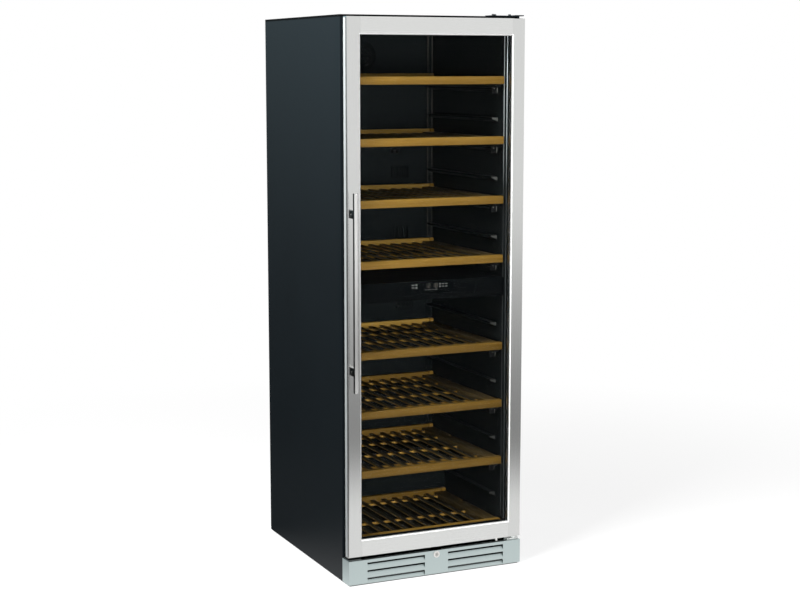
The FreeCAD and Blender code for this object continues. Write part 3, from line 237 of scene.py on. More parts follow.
def mottle_group() -> Group:
    """Makes the group of fine skin texture over slow unevenness, as on paint and moulded plastic.

    Returns:
        The group, with a Mask and a Height.
    """
    grit_share = 0.3
    group = Group("skin_texture", {"Grit": ("Float", 900.0), "Drift": ("Float", 5.0)},
                  {"Mask": "Float", "Height": "Float"})
    board = group.board
    where = board.place()
    grit = board.noise(where, Scale=group.given["Grit"], Detail=2.0)
    drift = board.noise(where, Scale=group.given["Drift"], Detail=3.0)
    group.put(Mask=board.reckon("MULTIPLY_ADD", grit, grit_share, drift, clamp=True), Height=grit)
    return group


def grain_group() -> Group:
    """Makes the wood grain group: long fibres, growth bands and a tone for each board.

    Returns:
        The group, with a Colour, a Roughness and a Height.
    """
    fibre_share, band_share, tone_share = 0.55, 0.45, 0.28
    board_shift = 3.7
    contrast = {"From_Min": 0.3, "From_Max": 0.7}
    group = Group("wood_grain",
                  {"Fibre": ("Vector", EVEN), "Band": ("Vector", EVEN),
                   "Light": ("Color", opaque(WHITE)), "Dark": ("Color", opaque(BLACK))},
                  {"Colour": "Color", "Roughness": "Float", "Height": "Float"})
    board, given = group.board, group.given
    tone = board.add("Attribute", {"attribute_name": "board_tone"}).outputs["Fac"]
    moved = board.vector("ADD", board.place(), board.reckon("MULTIPLY", tone, board_shift))
    fibre = board.noise(board.vector("MULTIPLY", moved, given["Fibre"]), Scale=1.0, Detail=5.0, Roughness=0.7)
    band = board.noise(board.vector("MULTIPLY", moved, given["Band"]), Scale=1.0, Detail=2.0, Distortion=0.6)
    both = board.reckon("MULTIPLY_ADD", fibre, fibre_share, board.reckon("MULTIPLY", band, band_share))
    toned = board.reckon("MULTIPLY_ADD", tone, tone_share, -tone_share / 2.0)
    mask = board.reckon("ADD", both, toned, clamp=True)
    group.put(Colour=board.blend(board.ranged(mask, **contrast), given["Dark"], given["Light"]),
              Roughness=board.ranged(fibre, **contrast, To_Min=0.62, To_Max=0.45), Height=fibre)
    return group


LINES = streak_group()
SKIN = mottle_group()
GRAIN = grain_group()


@dataclass(frozen=True)
class Finish:
    """A finish: its name, colour and gloss."""

    name: str
    colour: Colour
    rough: float

    def start(self) -> tuple[bpy.types.Material, Board, Node]:
        """Makes the material with its shader.

        Returns:
            The material, its board and its shader node.
        """
        material = bpy.data.materials.new(self.name)
        material.use_nodes = True
        material.diffuse_color = opaque(self.colour)
        board = Board(material.node_tree)
        shader = material.node_tree.nodes["Principled BSDF"]
        board.feed(shader, Base_Color=opaque(self.colour), Roughness=self.rough)
        return material, board, shader

    def build(self) -> bpy.types.Material:
        """Makes the material."""
        raise NotImplementedError


@dataclass(frozen=True)
class Textured(Finish):
    """A finish whose colour, gloss and relief change a little over the surface.

    tone is the share by which the colour darkens and lightens, gloss how far the roughness goes to each side,
    and depth the relief in metres.
    """

    tone: float = 0.1
    gloss: float = 0.06
    depth: float = 0.00001
    relief: float = 0.6

    def vary(self, board: Board, shader: Node, source: Node) -> None:
        """Lets a texture group change the colour, the gloss and the relief.

        Args:
            board: the material's board.
            shader: the material's shader.
            source: the placed group, with a Mask and a Height.
        """
        mask = source.outputs["Mask"]
        tint = board.blend(mask, opaque(self.colour, 1.0 - self.tone), opaque(self.colour, 1.0 + self.tone))
        low, high = max(SMOOTHEST, self.rough - self.gloss), self.rough + self.gloss
        rough = board.ranged(mask, To_Min=low, To_Max=high)
        bump = board.add("Bump", Strength=self.relief, Distance=self.depth, Height=source.outputs["Height"])
        board.feed(shader, Base_Color=tint, Roughness=rough, Normal=bump.outputs["Normal"])


@dataclass(frozen=True)
class Moulding(Textured):
    """Moulded plastic, rubber or paint with a fine skin; where a span of heights is given, its colour is
    darkened lower down as painted shade.
    """

    tone: float = 0.12
    depth: float = 0.00004
    grit: float = 900.0
    drift: float = 5.0
    coat: float = 0.0
    coat_rough: float = 0.08
    shine: float = 0.3
    painted_shade_span: tuple[float, float] | None = None
    painted_shade_share: float = 0.06

    def build(self) -> bpy.types.Material:
        """Makes the material.

        Returns:
            The material.
        """
        material, board, shader = self.start()
        board.feed(shader, Specular_IOR_Level=self.shine, Coat_Weight=self.coat,
                   Coat_Roughness=self.coat_rough)
        self.vary(board, shader, SKIN.place(board, Grit=self.grit, Drift=self.drift))
        # Painted shade: the colour runs from a small share of itself at the span's lower height to its full
        # self at the upper height, standing in for less light lower down.
        if self.painted_shade_span is not None:
            plain = shader.inputs["Base Color"].links[0].from_socket
            height = board.add("SeparateXYZ", Vector=board.place()).outputs["Z"]
            share = board.ranged(height, From_Min=self.painted_shade_span[0], From_Max=self.painted_shade_span[1])
            board.feed(shader, Base_Color=board.blend(share, opaque(self.colour, self.painted_shade_share), plain))
        return material


@dataclass(frozen=True)
class Metal(Textured):
    """Brushed or plain metal."""

    tone: float = 0.07
    gloss: float = 0.07
    depth: float = 0.000008
    run: Run = Run.UPRIGHT
    along: float = 8.0
    over: float = 1400.0
    blotch: float = 3.0
    metallic: float = 1.0

    def build(self) -> bpy.types.Material:
        """Makes the material.

        Returns:
            The material.
        """
        material, board, shader = self.start()
        board.feed(shader, Metallic=self.metallic)
        lines = LINES.place(board, Stretch=self.run.stretch(self.along, self.over), Blotch=self.blotch)
        self.vary(board, shader, lines)
        return material


@dataclass(frozen=True)
class Timber(Finish):
    """Oiled wood whose grain runs one way."""

    dark: Colour = (0.1, 0.06, 0.02)
    run: Run = Run.DEEP
    fibre: tuple[float, float] = (14.0, 700.0)
    band: tuple[float, float] = (2.5, 90.0)
    shine: float = 0.2
    relief: float = 0.5
    depth: float = 0.00012

    def build(self) -> bpy.types.Material:
        """Makes the material.

        Returns:
            The material.
        """
        material, board, shader = self.start()
        grain = GRAIN.place(board, Fibre=self.run.stretch(*self.fibre), Band=self.run.stretch(*self.band),
                            Light=opaque(self.colour), Dark=opaque(self.dark)).outputs
        bump = board.add("Bump", Strength=self.relief, Distance=self.depth, Height=grain["Height"])
        board.feed(shader, Specular_IOR_Level=self.shine, Base_Color=grain["Colour"],
                   Roughness=grain["Roughness"], Normal=bump.outputs["Normal"])
        return material


@dataclass(frozen=True)
class Glass(Finish):
    """Clear glass with a low-reflection coating and a trace of uneven tint."""

    bend: float = 1.04
    tone: float = 0.015
    grit: float = 40.0
    drift: float = 1.2

    def build(self) -> bpy.types.Material:
        """Makes the material.

        Returns:
            The material.
        """
        material, board, shader = self.start()
        mask = SKIN.place(board, Grit=self.grit, Drift=self.drift).outputs["Mask"]
        tint = board.blend(mask, opaque(self.colour), opaque(self.colour, 1.0 + self.tone))
        board.feed(shader, Transmission_Weight=1.0, IOR=self.bend, Base_Color=tint)
        return material


@dataclass(frozen=True)
class Light(Finish):
    """A lit mark, a little uneven as a small lamp behind print is."""

    glow: float = 0.3
    low_share: float = 0.8
    grit: float = 600.0
    drift: float = 90.0

    def build(self) -> bpy.types.Material:
        """Makes the material.

        Returns:
            The material.
        """
        material, board, shader = self.start()
        mask = SKIN.place(board, Grit=self.grit, Drift=self.drift).outputs["Mask"]
        tint = board.blend(mask, opaque(self.colour, self.low_share), opaque(self.colour))
        board.feed(shader, Base_Color=tint, Emission_Color=tint, Emission_Strength=self.glow)
        return material


FINISHES: dict[str, Finish] = {finish.name: finish for finish in (
    Moulding("cabinet_black", (0.0105, 0.0145, 0.0175), 0.38, grit=1400.0, tone=0.1, gloss=0.03,
             depth=0.00001, shine=0.07),
    # Darker than the side panels: partly the top's own plastic, partly painted shade for its unlit edge; the
    # cabinet floor and base pan share it.
    Moulding("deep_black_and_shade", (0.003, 0.0033, 0.0036), 0.6, grit=1400.0, shine=0.05),
    Metal("zinc_steel", (0.5, 0.52, 0.53), 0.38, run=Run.ACROSS, along=60.0, over=160.0, tone=0.1),
    Moulding("liner_black", (0.0052, 0.0068, 0.0071), 0.5, grit=1600.0, depth=0.000008, shine=0.06),
    # Pale grey on the ledge ends: a painted highlight, with painted shade lower down.
    Moulding("ledge_end_painted_highlight", (0.095, 0.095, 0.088), 0.5, grit=1600.0, shine=0.1, painted_shade_span=(-0.5, 1.5)),
    # Pale grey for the stops' screws and for the strip painted as the highlight on their outer edge, with
    # painted shade lower down.
    Moulding("stop_screw_and_edge_highlight", (0.24, 0.235, 0.21), 0.45, grit=1600.0, shine=0.2, painted_shade_span=(-0.5, 1.5)),
    Moulding("insulating_foam", (0.67, 0.6, 0.4), 0.9, grit=500.0, depth=0.0003),
    Moulding("panel_gloss_black", (0.0022, 0.0028, 0.0031), 0.1, gloss=0.02, depth=0.0, shine=0.012),
    Moulding("divider_black", (0.0022, 0.0027, 0.003), 0.6, grit=1400.0, shine=0.015),
    Metal("fin_aluminium", (0.6, 0.62, 0.63), 0.4, run=Run.UPRIGHT),
    Moulding("machine_black", (0.012, 0.012, 0.012), 0.35, coat=0.3),
    Moulding("plastic_black", (0.006, 0.0066, 0.007), 0.4, shine=0.12),
    Metal("kick_steel", (0.54, 0.62, 0.615), 0.42, run=Run.ACROSS, tone=0.04),
    Metal("door_steel", (0.66, 0.665, 0.655), 0.16, run=Run.UPRIGHT, tone=0.05, gloss=0.03, depth=0.000004),
    # A lighter copy of the door steel for the rails, brushed across: the lighter colour is painted sheen.
    Metal("door_steel_across_sheen", (0.735, 0.74, 0.728), 0.26, run=Run.ACROSS, tone=0.05),
    Metal("handle_steel", (0.62, 0.62, 0.61), 0.22, run=Run.UPRIGHT, metallic=0.72),
    # A near-black copy of the handle steel: painted shade and reflection on the handle's left faces and the
    # posts' sides.
    Metal("handle_painted_shade", (0.03, 0.031, 0.029), 0.3, run=Run.UPRIGHT),
    Metal("lock_nickel", (0.8, 0.79, 0.76), 0.2, run=Run.ACROSS, along=80.0, over=300.0),
    Metal("lock_core", (0.58, 0.57, 0.54), 0.3, run=Run.ACROSS, along=80.0, over=300.0),
    Moulding("bumper_white", (0.75, 0.75, 0.73), 0.45),
    Light("mark_white", (0.25, 0.26, 0.24), 0.4, glow=0.1),
    Light("digit_light", (0.1, 0.085, 0.075), 0.4, glow=0.03),
    Glass("clear_glass", (0.965, 0.975, 0.975), 0.0),
    Moulding("gasket_rubber", (0.005, 0.0052, 0.0055), 0.6, grit=1200.0, shine=0.1),
    Timber("shelf_wood", (0.34, 0.19, 0.034), 0.5, dark=(0.19, 0.1, 0.015), run=Run.DEEP),
    Timber("shelf_wood_across", (0.295, 0.168, 0.031), 0.5, dark=(0.14, 0.073, 0.011), run=Run.ACROSS),
    # A darker copy of the front bar wood: painted shade for the lower shelves.
    Timber("shaded_bar_wood", (0.195, 0.109, 0.019), 0.5, dark=(0.095, 0.05, 0.0075), run=Run.ACROSS),
    # A lighter copy of the shelf wood for the rear bars: painted light. The darker copy below it is painted
    # shade for the lowest shelves.
    Timber("lit_rear_wood", (0.54, 0.32, 0.068), 0.5, dark=(0.3, 0.175, 0.036), run=Run.ACROSS),
    Timber("shaded_rear_wood", (0.23, 0.127, 0.024), 0.5, dark=(0.125, 0.068, 0.012), run=Run.ACROSS),
    # A light copy of the wood for the battens' front and back faces: painted light.
    Timber("lit_batten_front_wood", (0.48, 0.27, 0.056), 0.5, dark=(0.3, 0.165, 0.033), run=Run.ACROSS),
    # A dark copy of the wood for the side rails: painted shade.
    Timber("shaded_rail_wood", (0.1, 0.068, 0.028), 0.5, dark=(0.05, 0.034, 0.013), run=Run.DEEP),
    # A dark copy of the wood for the battens' tops: painted shade.
    Timber("shaded_batten_wood", (0.06, 0.048, 0.028), 0.55, dark=(0.03, 0.024, 0.013), run=Run.ACROSS),
    # A very dark copy of the wood for the slats and a lighter one for their sides: painted shade and painted
    # light.
    Timber("shaded_slat_wood", (0.034, 0.029, 0.019), 0.55, dark=(0.017, 0.0145, 0.009), run=Run.DEEP),
    Timber("lit_slat_edge_wood", (0.2, 0.125, 0.037), 0.5, dark=(0.12, 0.073, 0.02), run=Run.DEEP),
    # Near-white for the window's bevel: a painted highlight.
    Moulding("window_edge_painted_highlight", (0.93, 0.94, 0.93), 0.35, grit=1600.0, shine=0.3),
    Moulding("bracket_bright", (0.78, 0.8, 0.79), 0.3, grit=1600.0, shine=0.4),
    # Dark steel for the corner plate: painted shade for the door's shadow over it.
    Metal("corner_painted_shade", (0.16, 0.17, 0.17), 0.35, run=Run.ACROSS),
    # A darker and a pale grey for the stile's outer side: painted shadow at its fold, painted light on the
    # rest.
    Moulding("stile_fold_painted_shadow", (0.13, 0.135, 0.13), 0.4, grit=1600.0, shine=0.2),
    Moulding("stile_side_painted_light", (0.6, 0.64, 0.64), 0.35, grit=1600.0, shine=0.25),
    # Faint lines on the duct cover: painted highlights, with painted shade lower down.
    Moulding("cover_line_painted_highlight", (0.064, 0.057, 0.048), 0.5, grit=1600.0, shine=0.15, painted_shade_span=(0.5, 1.6)),
    # Pale grey for the beads: painted highlight lines, with painted shade lower down.
    Moulding("bead_painted_highlight", (0.72, 0.78, 0.79), 0.45, grit=1600.0, shine=0.3, painted_shade_span=(1.2, 1.6)),
)}


class Palette:
    """Builds each finish once, when it is first asked for."""

    def __init__(self) -> None:
        """Starts with nothing built."""
        self.built: dict[str, bpy.types.Material] = {}

    def get(self, name: str) -> bpy.types.Material:
        """Gives the material of a finish.

        Args:
            name: the finish's name.

        Returns:
            The material.
        """
        if name not in self.built:
            self.built[name] = FINISHES[name].build()
        return self.built[name]


PALETTE = Palette()


@dataclass
class CadDress:
    """Gives each node of the frame its finish."""

    own: dict[str, str] = field(default_factory=lambda: {
        # The rails take the lighter steel, a painted sheen.
        "door_rail_top": "door_steel_across_sheen", "door_rail_bottom": "door_steel_across_sheen",
        # The top panel, cabinet floor and base pan take the darker black, partly painted shade.
        "lock_cylinder": "lock_core", "top_panel": "deep_black_and_shade", "cabinet_floor": "deep_black_and_shade",
        "base_pan": "deep_black_and_shade", "zone_divider": "divider_black", "evaporators": "machine_black",
        # The corner plate's dark steel is painted shade.
        "hinge_bracket_bottom": "bracket_bright", "corner_plate": "corner_painted_shade"})
    panes: tuple[str, ...] = ("glass_front", "glass_middle", "glass_inner")

    def dress(self) -> None:
        """Puts its slot's finish, or its own, on each node, and lets the lamps shine through the panes."""
        slots = {row["node"]: row["material_slot"] for row in frame["record"]["subparts"]}
        for name, node in frame["nodes"].items():
            material = PALETTE.get(self.own.get(name, slots[name]))
            for slot in node.material_slots:
                slot.material = material
        for name in self.panes:
            pane = frame["nodes"][name]
            pane.visible_shadow = False
            pane.visible_diffuse = False


class Pick(Enum):
    """What edit mode selects."""

    POINTS = "VERT"
    EDGES = "EDGE"
    FACES = "FACE"


class Bench:
    """Modelling by hand: a primitive at its size and place, then work in edit mode and modifiers."""

    @staticmethod
    def only(piece: Piece) -> None:
        """Selects one piece and makes it the active one.

        Args:
            piece: the piece.
        """
        deselect()
        piece.select_set(True)
        bpy.context.view_layer.objects.active = piece

    @staticmethod
    def settle() -> Piece:
        """Puts the active piece's place, turn and scale into its mesh, and gives the piece."""
        bpy.ops.object.transform_apply(location=True, rotation=True, scale=True)
        return bpy.context.object

    @classmethod
    def block(cls, first: Point, second: Point) -> Piece:
        """Makes a block between two opposite corners.

        Args:
            first: a corner.
            second: the corner opposite.

        Returns:
            The block.
        """
        deselect()
        middle = tuple((a + b) / 2.0 for a, b in zip(first, second))
        bpy.ops.mesh.primitive_cube_add(size=1.0, location=middle)
        bpy.context.object.scale = tuple(abs(b - a) for a, b in zip(first, second))
        return cls.settle()

    @classmethod
    def eased_block(cls, first: Point, second: Point, width: float, finish: str, steps: int = 2) -> Piece:
        """Makes a painted block with rounded edges."""
        return cls.paint(cls.ease(cls.block(first, second), width, steps), finish)

    @classmethod
    def rod(cls, start: Point, length: float, radius: float, run: Run, sides: int = 48) -> Piece:
        """Makes a round rod.

        Args:
            start: the middle of its first end.
            length: its length along the run.
            radius: its radius.
            run: the direction it runs in.
            sides: how many flats its round face has.

        Returns:
            The rod.
        """
        middle = tuple(a + part * length / 2.0 for a, part in zip(start, run.value))
        deselect()
        bpy.ops.mesh.primitive_cylinder_add(vertices=sides, radius=radius, depth=length, location=middle,
                                            rotation=run.turn())
        return cls.settle()

    @classmethod
    def ring(cls, middle: Point, wide: float, tall: float, band: float) -> Piece:
        """Starts a flat upright ring: a sheet whose inset middle face is left selected in edit mode.

        Args:
            middle: the ring's middle.
            wide: its outer width.
            tall: its outer height.
            band: the width of its band.

        Returns:
            The ring.
        """
        deselect()
        bpy.ops.mesh.primitive_plane_add(size=1.0, location=middle, rotation=(math.pi / 2.0, 0.0, 0.0))
        bpy.context.object.scale = (wide, tall, 1.0)
        ring = cls.settle()
        cls.select(ring, Pick.FACES, lambda place: True)
        bpy.ops.mesh.inset(thickness=band, depth=0.0)
        return ring

    @classmethod
    def select(cls, piece: Piece, what: Pick, test: Callable[[Vector], bool]) -> None:
        """Opens edit mode with the points, edges or faces selected whose middle passes a test.

        Args:
            piece: the piece.
            what: what is selected.
            test: the test.
        """
        cls.only(piece)
        bpy.ops.object.mode_set(mode="EDIT")
        bpy.ops.mesh.select_mode(type=what.value)
        bpy.ops.mesh.select_all(action="DESELECT")
        bpy.ops.object.mode_set(mode="OBJECT")
        mesh = piece.data
        if what is Pick.POINTS:
            for item in mesh.vertices:
                item.select = test(item.co)
        elif what is Pick.EDGES:
            for item in mesh.edges:
                first, second = (mesh.vertices[index].co for index in item.vertices)
                item.select = test((first + second) / 2.0)
        else:
            for item in mesh.polygons:
                item.select = test(item.center)
        bpy.ops.object.mode_set(mode="EDIT")

    @staticmethod
    def close() -> None:
        """Leaves edit mode."""
        bpy.ops.object.mode_set(mode="OBJECT")

    @classmethod
    def ease(cls, piece: Piece, width: float, steps: int = 2) -> Piece:
        """Rounds the sharp edges of a piece.

        Args:
            piece: the piece.
            width: how far the rounding goes from the edge.
            steps: how many flats the rounding has.

        Returns:
            The piece.
        """
        cls.only(piece)
        rounding = piece.modifiers.new("rounding", "BEVEL")
        rounding.width = width
        rounding.segments = steps
        rounding.limit_method = "ANGLE"
        rounding.angle_limit = SHARP_ANGLE
        bpy.ops.object.modifier_apply(modifier=rounding.name)
        return piece

    @classmethod
    def carve(cls, piece: Piece, *tools: Piece) -> Piece:
        """Cuts tools out of a piece and removes them.

        Args:
            piece: the piece.
            *tools: the shapes to take away.

        Returns:
            The piece.
        """
        for tool in tools:
            cls.only(piece)
            cutter = piece.modifiers.new("cut", "BOOLEAN")
            cutter.operation = "DIFFERENCE"
            cutter.solver = "EXACT"
            cutter.object = tool
            bpy.ops.object.modifier_apply(modifier=cutter.name)
            bpy.data.objects.remove(tool, do_unlink=True)
        return piece

    @classmethod
    def join(cls, name: str, pieces: Sequence[Piece]) -> Piece:
        """Joins pieces into one and smooths its round faces.

        Args:
            name: the joined piece's name.
            pieces: what is joined.

        Returns:
            The joined piece.
        """
        cls.only(pieces[0])
        for piece in pieces:
            piece.select_set(True)
        if len(pieces) > 1:
            bpy.ops.object.join()
        joined = bpy.context.object
        joined.name = name
        joined.data.name = name
        bpy.ops.object.shade_smooth_by_angle(angle=BLEND_ANGLE)
        return joined

    @classmethod
    def repeat(cls, piece: Piece, name: str, shift: Point, turn: Point = (0.0, 0.0, 0.0)) -> Piece:
        """Copies a piece, with a mesh of its own, to another place.

        Args:
            piece: the piece to copy.
            name: the copy's name.
            shift: how far the copy moves.
            turn: how far it turns about each axis.

        Returns:
            The copy.
        """
        cls.only(piece)
        bpy.ops.object.duplicate(linked=False)
        copy = bpy.context.object
        copy.name = name
        copy.data.name = name
        copy.location = shift
        copy.rotation_euler = turn
        return cls.settle()

    @staticmethod
    def paint(piece: Piece, finish: str) -> Piece:
        """Gives a piece one finish.

        Args:
            piece: the piece.
            finish: the finish's name.

        Returns:
            The piece.
        """
        piece.data.materials.clear()
        piece.data.materials.append(PALETTE.get(finish))
        return piece

    @staticmethod
    def paint_faces(piece: Piece, finish: str, test: Callable[[Vector], bool]) -> Piece:
        """Gives the faces whose normal passes a test a finish of their own.

        Args:
            piece: the piece, painted before.
            finish: the finish of the faces.
            test: the test.

        Returns:
            The piece.
        """
        piece.data.materials.append(PALETTE.get(finish))
        for face in piece.data.polygons:
            if test(face.normal):
                face.material_index = len(piece.data.materials) - 1
        return piece

    @staticmethod
    def fit(piece: Piece, body: str, slot: str, *nodes: str) -> None:
        """Lets a finished piece move with a body and stand for the nodes it replaces, and reports it.

        Args:
            piece: the piece.
            body: the body it rides on.
            slot: the record's material slot; not used.
            *nodes: the nodes it stands for.
        """
        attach(piece, body)
        if nodes:
            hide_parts(*nodes)
        LOG.info("made %s on %s", piece.name, body)


@dataclass
class ShelfSet:
    """The slatted wooden shelves with their dark runners."""

    full_shelves: int = 7
    last_unshaded_bar: int = 4
    last_lit_rear: int = 5
    board_round: float = 0.0012
    bar_height: float = 0.024
    bar_depth: float = 0.020
    rail_width: float = 0.044
    rail_step: float = 0.003
    rear_depth: float = 0.016
    rear_rise: float = 0.007
    rear_gap: float = 0.003
    block_width: float = 0.013
    slat_width: float = 0.016
    slat_sheet: float = 0.005
    slat_step: float = 0.005
    slats: int = 10
    batten_width: float = 0.012
    batten_height: float = 0.008
    full_battens: tuple[float, ...] = (0.14, 0.45, 0.76, 0.97)
    floor_battens: tuple[float, ...] = (0.40, 0.96)
    notch_depth: float = 0.012
    notch_length: float = 0.020
    notch_over: float = 0.01
    full_notch: float = 0.66
    floor_notch: float = 0.6
    runner_width: float = 0.021
    runner_height: float = 0.011
    runner_round: float = 0.0015
    stop_width: float = 0.0205
    stop_sheet: float = 0.006
    stop_drop: float = 0.019
    stop_back: float = 0.0504
    stop_round: float = 0.001
    screw_in: float = 0.0085
    screw_proud: float = 0.001
    screw_drop: float = 0.0035
    screw_length: float = 0.002
    screw_radius: float = 0.0016
    screw_round: float = 0.0005
    screw_sides: int = 20
    edge_start: float = 0.002
    edge_end: float = 0.0006
    edge_proud: float = 0.0004
    edge_margin: float = 0.001
    edge_round: float = 0.0002
    seed: int = 7

    def build(self) -> None:
        """Makes the eight shelves: the first full one copied to seven levels, and the short one."""
        self.dice = random.Random(self.seed)
        low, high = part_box("shelf_1")
        first_wood = self.make_wood("shelf_wood_1", low, high, self.full_battens, self.full_notch)
        first_runner = self.make_runners("shelf_runners_1", low, high)
        for number in range(1, self.full_shelves + 1):
            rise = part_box(f"shelf_{number}")[1].z - high.z
            wood, runner = first_wood, first_runner
            if number > 1:
                wood = Bench.repeat(first_wood, f"shelf_wood_{number}", (0.0, 0.0, rise))
                runner = Bench.repeat(first_runner, f"shelf_runners_{number}", (0.0, 0.0, rise))
            # Painted shade: below the last unshaded shelf the front bar takes a darker copy of its wood.
            if number > self.last_unshaded_bar:
                self.swap(wood, "shelf_wood_across", "shaded_bar_wood")
            # Painted shade: below the last lit shelf the rear bar takes a darker copy of its wood.
            if number > self.last_lit_rear:
                self.swap(wood, "lit_rear_wood", "shaded_rear_wood")
            Bench.fit(wood, f"shelf_{number}", "shelf_wood", f"shelf_{number}")
            Bench.fit(runner, f"shelf_{number}", "plastic_black")
        low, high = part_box("shelf_8")
        wood = self.make_wood("shelf_wood_8", low, high, self.floor_battens, self.floor_notch)
        # Painted shade: the short shelf's rear bar takes the darker copy too.
        self.swap(wood, "lit_rear_wood", "shaded_rear_wood")
        Bench.fit(wood, "shelf_8", "shelf_wood", "shelf_8")

    @staticmethod
    def swap(piece: Piece, old: str, new: str) -> None:
        """Gives a shelf a darker copy of one of its woods, painted shade.

        Args:
            piece: the shelf.
            old: the finish that goes.
            new: the finish that comes in its place.
        """
        for slot in piece.material_slots:
            if slot.material == PALETTE.get(old):
                slot.material = PALETTE.get(new)

    def board(self, first: Point, second: Point, finish: str, notch: Piece | None = None) -> Piece:
        """Makes one wooden member with eased edges and a tone of its own.

        Args:
            first: a corner.
            second: the corner opposite.
            finish: its wood, with the grain along it.
            notch: a shape cut out of it.

        Returns:
            The member.
        """
        piece = Bench.block(first, second)
        if notch is not None:
            Bench.carve(piece, notch)
        Bench.paint(Bench.ease(piece, self.board_round), finish)
        tone = piece.data.attributes.new("board_tone", "FLOAT", "FACE")
        value = self.dice.random()
        for item in tone.data:
            item.value = value
        return piece

    def make_wood(self, name: str, low: Vector, high: Vector, battens: Sequence[float],
                  notch_share: float) -> Piece:
        """Makes the wooden part of a shelf inside its node's box.

        Args:
            name: the piece's name.
            low: the box's lower corner.
            high: the box's upper corner.
            battens: where the battens lie, as shares of the slats' length.
            notch_share: where the notch of the side rails lies, as a share of their length.

        Returns:
            The joined shelf.
        """
        half, front, rear = high.x, low.y, high.y
        top = high.z - self.rear_rise
        under = top - self.bar_height
        behind, before = front + self.bar_depth, rear - self.rear_depth
        rail_in, block_in = half - self.rail_width, half - self.block_width
        slat_top = top - self.slat_step
        slat_low = slat_top - self.slat_sheet
        boards = [self.board((-half, front, under), (half, behind, top), "shelf_wood_across")]
        rear_half = block_in - self.rear_gap
        # Painted light: the rear bar takes a lighter copy of the wood.
        boards.append(self.board((-rear_half, before, under), (rear_half, rear, high.z), "lit_rear_wood"))
        notch_front = behind + (before - behind) * notch_share
        notch_back = notch_front + self.notch_length
        for side in SIDES:
            out = side * half
            notch = Bench.block((out - self.notch_depth, notch_front, under - self.notch_over),
                                (out + self.notch_depth, notch_back, top + self.notch_over))
            # Painted shade: the side rails take a dark copy of the wood.
            boards.append(self.board((out, behind, under), (side * rail_in, before, top - self.rail_step),
                                     "shaded_rail_wood", notch))
            boards.append(self.board((side * block_in, before, under), (out, rear, high.z), "shelf_wood"))
        last = before - self.batten_width / 2.0
        for share in battens:
            middle = behind + (last - behind) * share
            start = middle - self.batten_width / 2.0
            # Painted shade and light: each batten is a dark copy of the wood, with its front and back faces
            # in a light copy, as lit from the front.
            batten = self.board((-rail_in, start, slat_low - self.batten_height),
                                (rail_in, start + self.batten_width, slat_low), "shaded_batten_wood")
            boards.append(Bench.paint_faces(batten, "lit_batten_front_wood", lambda way: abs(way.y) > FACING))
        gap = (2.0 * rail_in - self.slats * self.slat_width) / (self.slats + 1)
        for index in range(self.slats):
            left = -rail_in + gap + index * (self.slat_width + gap)
            # Painted shade and light: each slat is a very dark copy of the wood, with its side faces in a
            # lighter copy.
            slat = self.board((left, behind, slat_low), (left + self.slat_width, before, slat_top),
                              "shaded_slat_wood")
            boards.append(Bench.paint_faces(slat, "lit_slat_edge_wood", lambda way: abs(way.x) > FACING))
        return Bench.join(name, boards)

    def make_runners(self, name: str, low: Vector, high: Vector) -> Piece:
        """Makes the two dark runners under a shelf's rails, each with a stop, a screw, and a pale strip
        painted as the highlight on the stop's outer edge.

        Args:
            name: the piece's name.
            low: the shelf's lower corner.
            high: the shelf's upper corner.

        Returns:
            The joined runners.
        """
        under = high.z - self.rear_rise - self.bar_height
        behind, before = low.y + self.bar_depth, high.y - self.rear_depth
        run_low = under - self.runner_height
        stop_low = run_low - self.stop_drop
        stop_back = low.y + self.stop_back
        stop_front = stop_back - self.stop_sheet
        pieces = []
        for side in SIDES:
            inner = side * (high.x - self.runner_width)
            pieces.append(Bench.eased_block((inner, behind, run_low), (side * high.x, before, under),
                                            self.runner_round, "plastic_black"))
            pieces.append(Bench.eased_block((inner, stop_front, stop_low),
                                            (inner + side * self.stop_width, stop_back, run_low),
                                            self.stop_round, "plastic_black"))
            head = (inner + side * self.screw_in, stop_front - self.screw_proud, run_low - self.screw_drop)
            screw = Bench.rod(head, self.screw_length, self.screw_radius, Run.DEEP, self.screw_sides)
            pieces.append(Bench.paint(Bench.ease(screw, self.screw_round), "stop_screw_and_edge_highlight"))
            # Painted highlight: a thin pale strip stands in for light on the stop's outer edge.
            start = inner + side * (self.stop_width - self.edge_start)
            end = inner + side * (self.stop_width - self.edge_end)
            edge_low, edge_top = stop_low + self.edge_margin, run_low - self.edge_margin
            pieces.append(Bench.eased_block((start, stop_front - self.edge_proud, edge_low),
                                            (end, stop_front + self.edge_margin, edge_top),
                                            self.edge_round, "stop_screw_and_edge_highlight", 1))
        return Bench.join(name, pieces)


